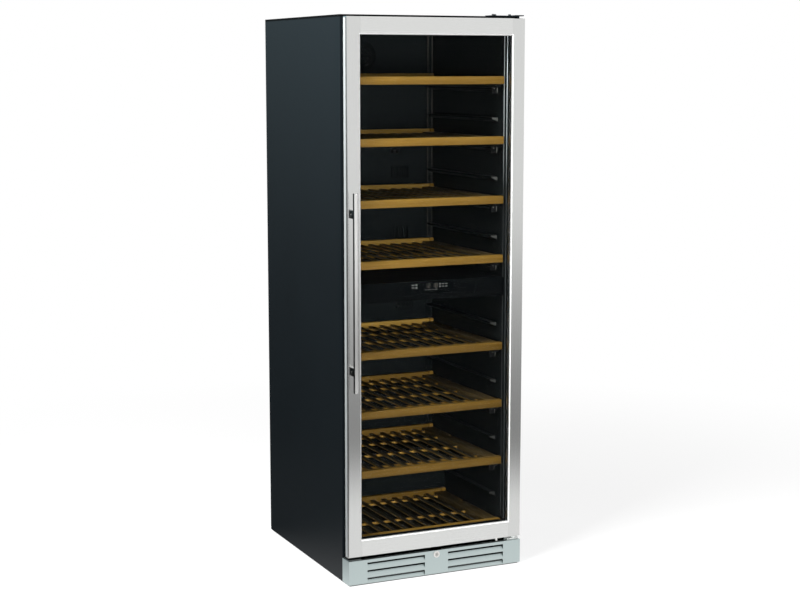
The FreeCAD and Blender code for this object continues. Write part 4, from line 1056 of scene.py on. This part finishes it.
@dataclass
class Handle:
    """The upright bar handle on its two posts, with painted shade and reflection on some of their faces."""

    radius: float = 0.008
    sides: int = 64
    end_round: float = 0.0015
    end_steps: int = 3
    painted_shade_side: float = -0.45
    painted_shade_front: float = -0.62
    post_height: float = 0.025
    post_round: float = 0.0012
    seat_over: float = 0.01
    screw_radius: float = 0.0022
    screw_sink: float = 0.002
    screw_sides: int = 24

    def build(self) -> None:
        """Makes the bar and the posts, each with its sunk set screw."""
        low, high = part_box("handle_bar")
        middle = (low + high) / 2.0
        bar = Bench.rod((middle.x, middle.y, low.z), high.z - low.z, self.radius, Run.UPRIGHT, self.sides)
        Bench.paint(Bench.ease(bar, self.end_round, self.end_steps), "handle_steel")
        # Painted shade and reflection: the bar's faces turned to the left, apart from those turned towards
        # the front, are near black.
        Bench.paint_faces(bar, "handle_painted_shade", lambda way: way.x < self.painted_shade_side and way.y > self.painted_shade_front)
        bar = Bench.join("handle_round_bar", [bar])
        Bench.fit(bar, "door", "door_steel", "handle_bar")
        low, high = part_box("handle_posts")
        posts = [self.make_post(middle, low, high, start) for start in (low.z, high.z - self.post_height)]
        posts = Bench.join("handle_bright_posts", posts)
        Bench.fit(posts, "door", "door_steel", "handle_posts")

    def make_post(self, middle: Vector, low: Vector, high: Vector, start: float) -> Piece:
        """Makes one post, hollowed where it takes the bar.

        Args:
            middle: the bar's middle.
            low: the posts' lower corner.
            high: the posts' upper corner.
            start: the height at which the post starts.

        Returns:
            The post.
        """
        post = Bench.block((low.x, low.y, start), (high.x, high.y, start + self.post_height))
        seat_length = self.post_height + 2.0 * self.seat_over
        seat = Bench.rod((middle.x, middle.y, start - self.seat_over), seat_length, self.radius, Run.UPRIGHT,
                         self.sides)
        sink = Bench.rod((low.x - self.screw_sink, (low.y + high.y) / 2.0, start + self.post_height / 2.0),
                         2.0 * self.screw_sink, self.screw_radius, Run.ACROSS, self.screw_sides)
        Bench.carve(post, seat, sink)
        post = Bench.paint(Bench.ease(post, self.post_round), "handle_steel")
        # Painted shade: the post's side faces are near black.
        return Bench.paint_faces(post, "handle_painted_shade", lambda way: abs(way.x) > FACING)


@dataclass
class DoorSeal:
    """The soft seal round the back of the door, with two folds in its depth."""

    band: float = 0.015
    cuts: tuple[float, ...] = (0.18, 0.34, 0.5, 0.66, 0.82)
    folds: tuple[float, ...] = (0.34, 0.66)
    fold: float = 0.0028
    near: float = 0.0002
    edge_round: float = 0.0006

    def build(self) -> None:
        """Makes the seal as a square ring and pinches its folds."""
        low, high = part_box("door_gasket")
        depth = high.y - low.y
        middle = ((low.x + high.x) / 2.0, low.y, (low.z + high.z) / 2.0)
        seal = Bench.ring(middle, high.x - low.x, high.z - low.z, self.band)
        bpy.ops.mesh.delete(type="FACE")
        bpy.ops.mesh.select_all(action="SELECT")
        bpy.ops.mesh.extrude_region_move(TRANSFORM_OT_translate={"value": (0.0, depth, 0.0)})
        for share in self.cuts:
            bpy.ops.mesh.select_all(action="SELECT")
            bpy.ops.mesh.bisect(plane_co=(0.0, low.y + depth * share, 0.0), plane_no=(0.0, 1.0, 0.0))
        bpy.ops.mesh.select_all(action="SELECT")
        bpy.ops.mesh.normals_make_consistent(inside=False)
        Bench.close()
        for share in self.folds:
            level = low.y + depth * share
            Bench.select(seal, Pick.POINTS, lambda place: abs(place.y - level) < self.near)
            bpy.ops.transform.shrink_fatten(value=-self.fold)
            Bench.close()
        Bench.paint(Bench.ease(seal, self.edge_round), "gasket_rubber")
        seal = Bench.join("door_bellows_seal", [seal])
        Bench.fit(seal, "door", "gasket_rubber", "door_gasket")


@dataclass
class ScrewHeads:
    """The pan-head screws with their cross recess, where the frame has its screws."""

    radius: float = 0.0045
    height: float = 0.0022
    sides: int = 32
    rim_from: float = 0.9
    rim_share: float = 0.7
    rim_steps: int = 4
    slot_length: float = 0.0056
    slot_width: float = 0.0011
    slot_depth: float = 0.0012
    near: float = 1e-5

    def build(self) -> None:
        """Makes one head and puts a copy on each screw's place, turned the way the screw faces."""
        pattern = self.make_head()
        up = Vector(Run.UPRIGHT.value)
        heads = [Bench.repeat(pattern, "screw_head", place, up.rotation_difference(way).to_euler())
                 for place, way in self.places()]
        bpy.data.objects.remove(pattern, do_unlink=True)
        heads = Bench.join("cross_head_screws", heads)
        Bench.fit(heads, "cabinet", "zinc_steel", "screws")

    def make_head(self) -> Piece:
        """Makes a head that faces up, with its seat at the origin.

        Returns:
            The head.
        """
        head = Bench.rod((0.0, 0.0, 0.0), self.height, self.radius, Run.UPRIGHT, self.sides)
        Bench.select(head, Pick.EDGES, lambda place: place.z > self.height * self.rim_from)
        bpy.ops.mesh.bevel(offset=self.height * self.rim_share, segments=self.rim_steps, affect="EDGES")
        Bench.close()
        floor, top = self.height - self.slot_depth, self.height * 2.0
        for long, wide in ((self.slot_length, self.slot_width), (self.slot_width, self.slot_length)):
            Bench.carve(head, Bench.block((-long / 2, -wide / 2, floor), (long / 2, wide / 2, top)))
        return Bench.paint(head, "zinc_steel")

    def places(self) -> list[tuple[Vector, Vector]]:
        """Reads where the frame's screws sit and which way their heads face.

        Returns:
            For each screw the middle of its head's seat, and the way the head faces.
        """
        mesh = frame["nodes"]["screws"].data
        home = list(range(len(mesh.vertices)))

        def root(index: int) -> int:
            """Gives the first point of the screw that a point belongs to.

            Args:
                index: the point's number.

            Returns:
                The first point's number.
            """
            while home[index] != index:
                index = home[index]
            return index

        for edge in mesh.edges:
            first, second = (root(index) for index in edge.vertices)
            home[max(first, second)] = min(first, second)
        screws: dict[int, list[Vector]] = {}
        for vertex in mesh.vertices:
            screws.setdefault(root(vertex.index), []).append(vertex.co)
        return [self.read(points) for points in screws.values()]

    def read(self, points: list[Vector]) -> tuple[Vector, Vector]:
        """Reads one screw's seat and direction from its points.

        Args:
            points: the screw's points.

        Returns:
            The middle of the head's seat, and the way the head faces.
        """
        low = Vector(tuple(min(point[axis] for point in points) for axis in range(3)))
        high = Vector(tuple(max(point[axis] for point in points) for axis in range(3)))
        size, middle = high - low, (low + high) / 2.0
        axis = max(range(3), key=lambda part: abs(size[part] - 2.0 * self.radius))
        spread = {end: max((point - middle).length for point in points if abs(point[axis] - end) < self.near)
                  for end in (low[axis], high[axis])}
        side = 1.0 if spread[high[axis]] > spread[low[axis]] else -1.0
        way = Vector((0.0, 0.0, 0.0))
        way[axis] = side
        seat = middle.copy()
        seat[axis] = (high[axis] if side > 0 else low[axis]) - side * self.height
        return seat, way


@dataclass
class LedgeEnds:
    """Pale caps on the front ends of the moulded shelf ledges, a painted highlight for the light those ends
    catch, with painted shade lower down.
    """

    levels: int = 15
    hidden_level: int = 7
    pitch: float = 0.0928
    tall: float = 0.014
    tip: float = 0.005
    reach: float = 0.022
    sheet: float = 0.0004
    side_margin: float = 0.0006
    top_margin: float = 0.0012
    edge_round: float = 0.00015

    def build(self) -> None:
        """Makes a cap for each ledge that shows, on both walls."""
        low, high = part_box("shelf_ledges")
        caps = []
        for level in range(self.levels):
            if level == self.hidden_level:
                continue
            top = high.z - level * self.pitch
            caps += [self.make_cap(side, high.x, low.y, top) for side in SIDES]
        caps = Bench.join("ledge_end_highlight_caps", caps)
        Bench.fit(caps, "cabinet", "liner_black")

    def make_cap(self, side: float, wall: float, front: float, top: float) -> Piece:
        """Makes one cap, which narrows towards the ledge's tip.

        Args:
            side: which wall it is on.
            wall: how far the wall is from the middle.
            front: where the ledge starts.
            top: the ledge's upper face.

        Returns:
            The cap.
        """
        tip = side * (wall - self.reach + self.side_margin)
        root = side * (wall - self.side_margin)
        cap = Bench.block((tip, front - self.sheet, top - self.tall + self.top_margin),
                          (root, front, top - self.top_margin))
        inner = wall - self.reach / 2.0
        middle = top - self.tall / 2.0
        Bench.select(cap, Pick.POINTS, lambda place: abs(place.x) < inner and place.z < middle)
        bpy.ops.transform.translate(value=(0.0, 0.0, self.tall - self.tip))
        Bench.close()
        # Painted highlight: the pale cap stands in for light on the ledge's front end.
        return Bench.paint(Bench.ease(cap, self.edge_round, 1), "ledge_end_painted_highlight")


@dataclass
class WindowEdge:
    """Painted highlights: the near-white edge round the window, the pale skin of the stile's side with a
    painted shadow at its fold, and the pale beads and lines inside.
    """

    bevel: float = 0.0042
    sink: float = 0.0045
    sheet: float = 0.0003
    lift: float = 0.0002
    fold: float = 0.003
    groove: float = 0.01
    skin_margin: float = 0.001
    skin_round: float = 0.0001
    bead: float = 0.0014
    bead_round: float = 0.0004
    bead_sides: int = 16
    frame_out: float = 0.003
    frame_in: float = 0.004
    liner_in: float = 0.010
    edge_inset: float = 0.004
    fold_inset: float = 0.02
    line_margin: float = 0.002

    def build(self) -> None:
        """Makes the edge, the skin, and the beads and lines of the door, the liner and the duct cover."""
        stile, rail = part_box("door_stile_left"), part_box("door_rail_bottom")
        half, front = -stile[1].x, stile[0].y
        bottom, top = rail[1].z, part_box("door_rail_top")[0].z
        edge = self.make_edge(half, front, bottom, top)
        Bench.fit(edge, "door", "door_steel")
        skin = self.make_skin(*stile)
        Bench.fit(skin, "door", "door_steel")
        frame_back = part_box("door_inner_frame")[1].y
        # Painted highlights: pale beads along the inner frame and the liner's front edges stand in for light
        # those edges catch.
        beads = self.make_beads("inner_frame_beads", half + self.frame_out, frame_back - self.frame_in,
                                bottom, top)
        Bench.fit(beads, "door", "plastic_black")
        wall, liner_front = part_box("shelf_ledges")[1].x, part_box("shelf_1")[0].y
        beads = self.make_beads("liner_beads", wall, liner_front + self.liner_in, bottom, top)
        Bench.fit(beads, "cabinet", "liner_black")
        # Painted highlights: faint pale lines at the duct cover's edge and fold.
        low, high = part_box("upper_duct_cover")
        for name, inset in (("cover_edge_lines", self.edge_inset), ("cover_fold_lines", self.fold_inset)):
            lines = self.make_beads(name, high.x - inset, low.y, low.z + self.line_margin,
                                    high.z - self.line_margin, "cover_line_painted_highlight")
            Bench.fit(lines, "cabinet", "liner_black")

    def make_edge(self, half: float, front: float, bottom: float, top: float) -> Piece:
        """Makes the near-white edge, a painted highlight on the window's bevel, as a sloping ring with mitred
        corners.

        Args:
            half: half the window's width.
            front: the door's front face.
            bottom: the window's lower edge.
            top: the window's upper edge.

        Returns:
            The edge.
        """
        middle = (0.0, front - self.lift, (bottom + top) / 2.0)
        edge = Bench.ring(middle, 2.0 * (half + self.bevel), top - bottom + 2.0 * self.bevel, self.bevel)
        bpy.ops.transform.translate(value=(0.0, self.sink, 0.0))
        bpy.ops.mesh.delete(type="ONLY_FACE")
        Bench.close()
        solid = edge.modifiers.new("solid", "SOLIDIFY")
        solid.thickness = self.sheet
        solid.offset = 0.0
        Bench.only(edge)
        bpy.ops.object.modifier_apply(modifier=solid.name)
        return Bench.join("window_edge_highlight_ring", [Bench.paint(edge, "window_edge_painted_highlight")])

    def make_skin(self, low: Vector, high: Vector) -> Piece:
        """Makes a pale skin on the stile's outer side, painted light, with a darker strip at the front
        painted as the shadow of its fold.

        Args:
            low: the stile's lower corner.
            high: the stile's upper corner.

        Returns:
            The skin.
        """
        strips = []
        # Painted shadow on the front strip, painted light on the rest of the side.
        for start, end, finish in ((self.fold, self.groove, "stile_fold_painted_shadow"),
                                   (self.groove, high.y - low.y - self.skin_margin, "stile_side_painted_light")):
            strips.append(Bench.eased_block((low.x - self.sheet, low.y + start, low.z + self.fold),
                                            (low.x, low.y + end, high.z - self.fold),
                                            self.skin_round, finish, 1))
        return Bench.join("stile_side_light_and_shadow_skin", strips)

    def make_beads(self, name: str, out: float, depth: float, bottom: float, top: float,
                   finish: str = "bead_painted_highlight") -> Piece:
        """Makes a pair of upright beads, half sunk in the faces they lie on, pale as painted highlight lines
        by default.

        Args:
            name: the pair's name.
            out: how far they are from the middle.
            depth: where they lie in depth.
            bottom: where they start.
            top: where they end.
            finish: their finish.

        Returns:
            The pair.
        """
        rods = []
        for side in SIDES:
            rod = Bench.rod((side * out, depth, bottom), top - bottom, self.bead, Run.UPRIGHT,
                            self.bead_sides)
            rods.append(Bench.paint(Bench.ease(rod, self.bead_round, 1), finish))
        return Bench.join(name, rods)


@dataclass
class ControlMarks:
    """The lit digits and the printed touch marks on the control panel."""

    level: float = 0.908
    sheet: float = 0.0004
    ease_share: float = 0.2
    digits: tuple[tuple[float, str], ...] = ((-0.0150, "1"), (-0.0045, "2"), (0.0095, "1"), (0.0200, "8"))
    digit_width: float = 0.0075
    digit_height: float = 0.0125
    stroke: float = 0.0012
    corner_share: float = 0.4
    dashes: tuple[tuple[float, float], ...] = (
        (-0.0155, 0.0065), (-0.0055, 0.0105), (0.0085, 0.0065), (0.0175, 0.0105))
    dash_drop: float = 0.0125
    dash_height: float = 0.0008
    keys: tuple[tuple[float, float, float], ...] = (
        (-0.0610, 0.0095, 0.0018), (0.0340, 0.0050, 0.0026),
        (0.0445, 0.0055, 0.0016), (0.0545, 0.0075, 0.0016))
    key_rise: float = 0.004
    ring_place: float = -0.0445
    ring_rise: float = 0.0044
    ring_radius: float = 0.0028
    ring_sides: int = 28
    hole_share: float = 0.45
    hole_over: float = 0.001
    hole_sides: int = 20

    def build(self) -> None:
        """Makes the digits, the dashes under them and the touch marks to both sides."""
        low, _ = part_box("control_panel")
        self.face = low.y
        digits = []
        for start, value in self.digits:
            digits += self.digit(start, value)
        digits = Bench.join("zone_digits", digits)
        Bench.fit(Bench.paint(digits, "digit_light"), "cabinet", "panel_gloss_black")
        marks = []
        for start, wide in self.dashes:
            marks.append(self.dash(start, self.level - self.dash_drop, wide, self.dash_height))
        for way in (1.0, -1.0):
            for start, wide, tall in self.keys:
                marks.append(self.dash(start, self.level + way * self.key_rise, wide, tall))
            marks.append(self.ring(self.level + way * self.ring_rise))
        marks = Bench.join("touch_marks", marks)
        Bench.fit(Bench.paint(marks, "mark_white"), "cabinet", "panel_gloss_black")

    def dash(self, left: float, middle: float, wide: float, tall: float) -> Piece:
        """Makes a raised bar on the panel's face.

        Args:
            left: where it starts.
            middle: its middle height.
            wide: its width.
            tall: its height.

        Returns:
            The bar.
        """
        bar = Bench.block((left, self.face - self.sheet, middle - tall / 2.0),
                          (left + wide, self.face, middle + tall / 2.0))
        return Bench.ease(bar, min(wide, tall) * self.ease_share, 1)

    def ring(self, level: float) -> Piece:
        """Makes a small ring mark on the panel's face.

        Args:
            level: the height of its middle.

        Returns:
            The ring.
        """
        front = self.face - self.sheet
        ring = Bench.rod((self.ring_place, front, level), self.sheet, self.ring_radius, Run.DEEP,
                         self.ring_sides)
        hole = Bench.rod((self.ring_place, front - self.hole_over, level), 2.0 * self.hole_over + self.sheet,
                         self.ring_radius * self.hole_share, Run.DEEP, self.hole_sides)
        return Bench.carve(ring, hole)

    def digit(self, left: float, value: str) -> list[Piece]:
        """Makes a digit of straight strokes.

        Args:
            left: where it starts.
            value: the digit.

        Returns:
            Its strokes.
        """
        lit = {"1": "bc", "2": "abged", "8": "abcdefg"}[value]
        half, line = self.digit_height / 2.0, self.stroke
        corner = line * self.corner_share
        right = left + self.digit_width - line
        bar = self.digit_width - 2.0 * corner
        strokes = []
        for name, rise in (("a", half), ("g", 0.0), ("d", -half)):
            if name in lit:
                strokes.append(self.dash(left + corner, self.level + rise, bar, line))
        for name, start, rise in (("f", left, half / 2), ("b", right, half / 2),
                                  ("e", left, -half / 2), ("c", right, -half / 2)):
            if name in lit:
                strokes.append(self.dash(start, self.level + rise, line, half - 2.0 * corner))
        return strokes


@dataclass
class LockFace:
    """The lock's bright bezel with its barrel."""

    flange_radius: float = 0.011
    flange_height: float = 0.0025
    flange_sides: int = 64
    rim_from: float = 0.2
    rim_share: float = 0.75
    rim_steps: int = 5
    barrel_radius: float = 0.0085
    bore_radius: float = 0.0062
    bore_over: float = 0.005

    def build(self) -> None:
        """Makes the bezel with a rounded rim and a bore for the core."""
        low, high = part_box("lock_barrel")
        x, z = (low.x + high.x) / 2.0, (low.z + high.z) / 2.0
        flange = Bench.rod((x, low.y, z), self.flange_height, self.flange_radius, Run.DEEP, self.flange_sides)
        rim = low.y + self.flange_height * self.rim_from
        Bench.select(flange, Pick.EDGES, lambda place: place.y < rim)
        bpy.ops.mesh.bevel(offset=self.flange_height * self.rim_share, segments=self.rim_steps,
                           affect="EDGES")
        Bench.close()
        start = low.y + self.flange_height
        barrel = Bench.rod((x, start, z), high.y - start, self.barrel_radius, Run.DEEP)
        for piece in (flange, barrel):
            bore = Bench.rod((x, low.y - self.bore_over, z), high.y - low.y + 2.0 * self.bore_over,
                             self.bore_radius, Run.DEEP)
            Bench.carve(piece, bore)
            Bench.paint(piece, "lock_nickel")
        bezel = Bench.join("lock_bezel", [flange, barrel])
        Bench.fit(bezel, "cabinet", "zinc_steel", "lock_barrel")


@dataclass
class DoorStop:
    """The small white bumper under the door's lower edge."""

    across: float = 0.214
    deep: float = -0.3165
    radius: float = 0.0035
    drop: float = 0.007
    sides: int = 32
    end_round: float = 0.001
    end_steps: int = 3

    def build(self) -> None:
        """Makes the bumper."""
        low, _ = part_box("door_rail_bottom")
        start = (self.across, self.deep, low.z - self.drop)
        bumper = Bench.rod(start, self.drop, self.radius, Run.UPRIGHT, self.sides)
        Bench.paint(Bench.ease(bumper, self.end_round, self.end_steps), "bumper_white")
        bumper = Bench.join("door_bumper", [bumper])
        Bench.fit(bumper, "door", "plastic_black")


@dataclass(frozen=True)
class Lamp:
    """A soft oblong lamp that polished faces don't show."""

    name: str
    at: Point
    to: Point
    size: tuple[float, float]
    power: float

    def hang(self) -> None:
        """Makes the lamp and turns it to the point it lights."""
        deselect()
        bpy.ops.object.light_add(type="AREA", location=self.at)
        lamp = bpy.context.object
        lamp.name = self.name
        lamp.data.shape = "RECTANGLE"
        lamp.data.size, lamp.data.size_y = self.size
        lamp.data.energy = self.power
        lamp.visible_glossy = False
        lamp.rotation_euler = (Vector(self.to) - Vector(self.at)).to_track_quat("-Z", "Y").to_euler()


@dataclass
class Studio:
    """Pale floor, soft lamps and the camera at the photograph's viewing angle."""

    eye: Point = (-2.17295, -4.76196, 1.57672)
    tilt: Point = (81.868, 0.0, -24.751)
    lens: float = 73.367
    sensor: float = 36.0
    sight: float = 100.0
    lamps: tuple[Lamp, ...] = (
        Lamp("front_lamp", (-0.9, -4.9, 1.15), (0.0, -0.3, 0.95), (2.2, 0.9), 190.0),
        Lamp("rear_lamp", (-2.3, 3.9, 2.4), (-0.3, -0.2, 1.6), (1.2, 1.2), 15.0),
        Lamp("side_lamp", (-1.3, -0.9, 3.0), (-0.3, -0.2, 1.75), (0.8, 0.8), 85.0))
    floor_size: float = 60.0
    floor_tone: float = 0.3
    shade_tone: float = 0.4
    fill: float = 0.12
    near: float = 1.0
    far: float = 3.0
    under_margin: float = 0.004
    dim_reach: float = 12.0
    dim_steps: tuple[tuple[float, float], ...] = ((0.1, 1.0), (0.17, 0.3), (0.32, 0.39))
    card_way: Point = (-0.5, 0.86, 0.0)
    card_tone: float = 0.1
    card_tint: Colour = (0.68, 0.92, 1.0)
    card_floor: tuple[float, float] = (-0.1, 0.5)
    card_side: tuple[float, float] = (0.62, 0.85)
    card_rise: tuple[float, float] = (0.14, -0.1)

    def build(self) -> None:
        """Makes the floor, the world, the lamps and the camera."""
        bpy.context.scene.view_settings.view_transform = "Standard"
        self.make_floor()
        self.make_world()
        for lamp in self.lamps:
            lamp.hang()
        self.make_camera()

    def make_floor(self) -> None:
        """Makes the pale floor: white to the eye, shaded round the cabinet, and dimmer in reflections."""
        deselect()
        bpy.ops.mesh.primitive_plane_add(size=self.floor_size, location=(0.0, 0.0, 0.0))
        floor = bpy.context.object
        floor.name = "studio_floor"
        material = bpy.data.materials.new("studio_floor")
        material.use_nodes = True
        board = Board(material.node_tree)
        where = board.place()
        away = board.add("VectorMath", {"operation": "LENGTH"}, i0=where).outputs["Value"]
        plain = board.add("BsdfDiffuse", Color=opaque((self.floor_tone,) * 3))
        shade = board.add("BsdfDiffuse", Color=opaque((self.shade_tone,) * 3))
        glow = board.add("Emission", Strength=self.open_floor(board, where))
        close = board.add("AddShader", i0=shade.outputs[0], i1=glow.outputs[0])
        white = board.add("Emission", Strength=1.0)
        seen = board.layer(board.ranged(away, From_Min=self.near, From_Max=self.far), close, white)
        shown = board.layer(self.mirror_rays(board), seen, self.mirrored_floor(board, where, away))
        mixed = board.layer(self.seen_rays(board), plain, shown)
        board.feed(material.node_tree.nodes["Material Output"], Surface=mixed.outputs[0])
        floor.data.materials.append(material)

    def open_floor(self, board: Board, where: Socket) -> Socket:
        """Gives the floor's own brightness beside the cabinet, and none under it.

        Args:
            board: the floor's nodes.
            where: the place on the floor.

        Returns:
            The brightness.
        """
        front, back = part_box("kick_plate")[0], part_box("back_panel")[1]
        parts = board.add("SeparateXYZ", Vector=where).outputs
        side = board.reckon("ABSOLUTE", parts["X"])
        beside = board.reckon("GREATER_THAN", side, -front.x - self.under_margin)
        before = board.reckon("LESS_THAN", parts["Y"], front.y + self.under_margin)
        behind = board.reckon("GREATER_THAN", parts["Y"], back.y - self.under_margin)
        clear = board.reckon("MAXIMUM", board.reckon("MAXIMUM", beside, before), behind)
        return board.reckon("MULTIPLY", clear, 1.0 - self.shade_tone / 2.0)

    def mirrored_floor(self, board: Board, where: Socket, away: Socket) -> Node:
        """Makes the floor that reflections show: dimmer far off, and dark on the card's side.

        Args:
            board: the floor's nodes.
            where: the place on the floor.
            away: how far that is from the cabinet.

        Returns:
            The floor's shader.
        """
        dimming = board.add("ValToRGB", Fac=board.ranged(away, From_Max=self.dim_reach))
        for place, tone in self.dim_steps:
            dimming.color_ramp.elements.new(place).color = opaque((tone,) * 3)
        dimming.color_ramp.elements[0].color = opaque(WHITE)
        start, full = self.card_floor
        kept = board.ranged(self.towards_card(board, where), From_Min=start, From_Max=full, To_Min=1.0,
                            To_Max=self.card_tone)
        return board.add("Emission", Color=dimming.outputs["Color"], Strength=kept)

    def towards_card(self, board: Board, way: Socket) -> Socket:
        """Gives how far a place or a direction lies towards the dark card."""
        node = board.add("VectorMath", {"operation": "DOT_PRODUCT"}, i0=way, i1=self.card_way)
        return node.outputs["Value"]

    @staticmethod
    def seen_rays(board: Board) -> Socket:
        """Gives 1 for rays from the eye, from reflections and through glass, and 0 for the rest.

        Args:
            board: where the nodes go.

        Returns:
            The mask.
        """
        path = board.add("LightPath").outputs
        shown = board.reckon("MAXIMUM", path["Is Camera Ray"], path["Is Glossy Ray"])
        return board.reckon("MAXIMUM", shown, path["Is Transmission Ray"])

    @staticmethod
    def mirror_rays(board: Board) -> Socket:
        """Gives 1 for rays from reflections, and 0 for the rest, rays through glass too.

        Args:
            board: where the nodes go.

        Returns:
            The mask.
        """
        path = board.add("LightPath").outputs
        outside = board.reckon("SUBTRACT", 1.0, path["Is Transmission Ray"])
        return board.reckon("MULTIPLY", path["Is Glossy Ray"], outside)

    def make_world(self) -> None:
        """Makes a white surround, a dark card that only polished faces show, and an even fill."""
        world = bpy.data.worlds.new("studio")
        bpy.context.scene.world = world
        world.use_nodes = True
        board = Board(world.node_tree)
        way = board.add("TexCoord").outputs["Generated"]
        start, full = self.card_side
        side = board.ranged(self.towards_card(board, way), From_Min=start, From_Max=full,
                            To_Max=self.mirror_rays(board))
        start, full = self.card_rise
        rise = board.add("SeparateXYZ", Vector=way).outputs["Z"]
        low = board.ranged(rise, From_Min=start, From_Max=full, To_Max=1.0 - self.card_tone)
        white = board.reckon("SUBTRACT", 1.0, board.reckon("MULTIPLY", side, low))
        strength = board.ranged(self.seen_rays(board), To_Min=self.fill, To_Max=white)
        tint = board.blend(side, opaque(WHITE), opaque(self.card_tint))
        board.feed(world.node_tree.nodes["Background"], Strength=strength, Color=tint)

    def make_camera(self) -> None:
        """Makes the camera."""
        deselect()
        bpy.ops.object.camera_add(location=self.eye, rotation=tuple(math.radians(part) for part in self.tilt))
        camera = bpy.context.object
        camera.data.sensor_width = self.sensor
        camera.data.lens = self.lens
        camera.data.clip_end = self.sight
        bpy.context.scene.camera = camera


def main() -> None:
    """Dresses the frame, adds the small parts, and sets the light and the camera."""
    logging.basicConfig(level=logging.INFO, format="%(name)s: %(message)s")
    CadDress().dress()
    LOG.info("dressed %d nodes", len(frame["nodes"]))
    for part in (ShelfSet(), Handle(), DoorSeal(), ScrewHeads(), LedgeEnds(), WindowEdge(), ControlMarks(),
                 LockFace(), DoorStop()):
        part.build()
        LOG.info("built %s", type(part).__name__)
    Studio().build()


if __name__ == "__main__":
    main()
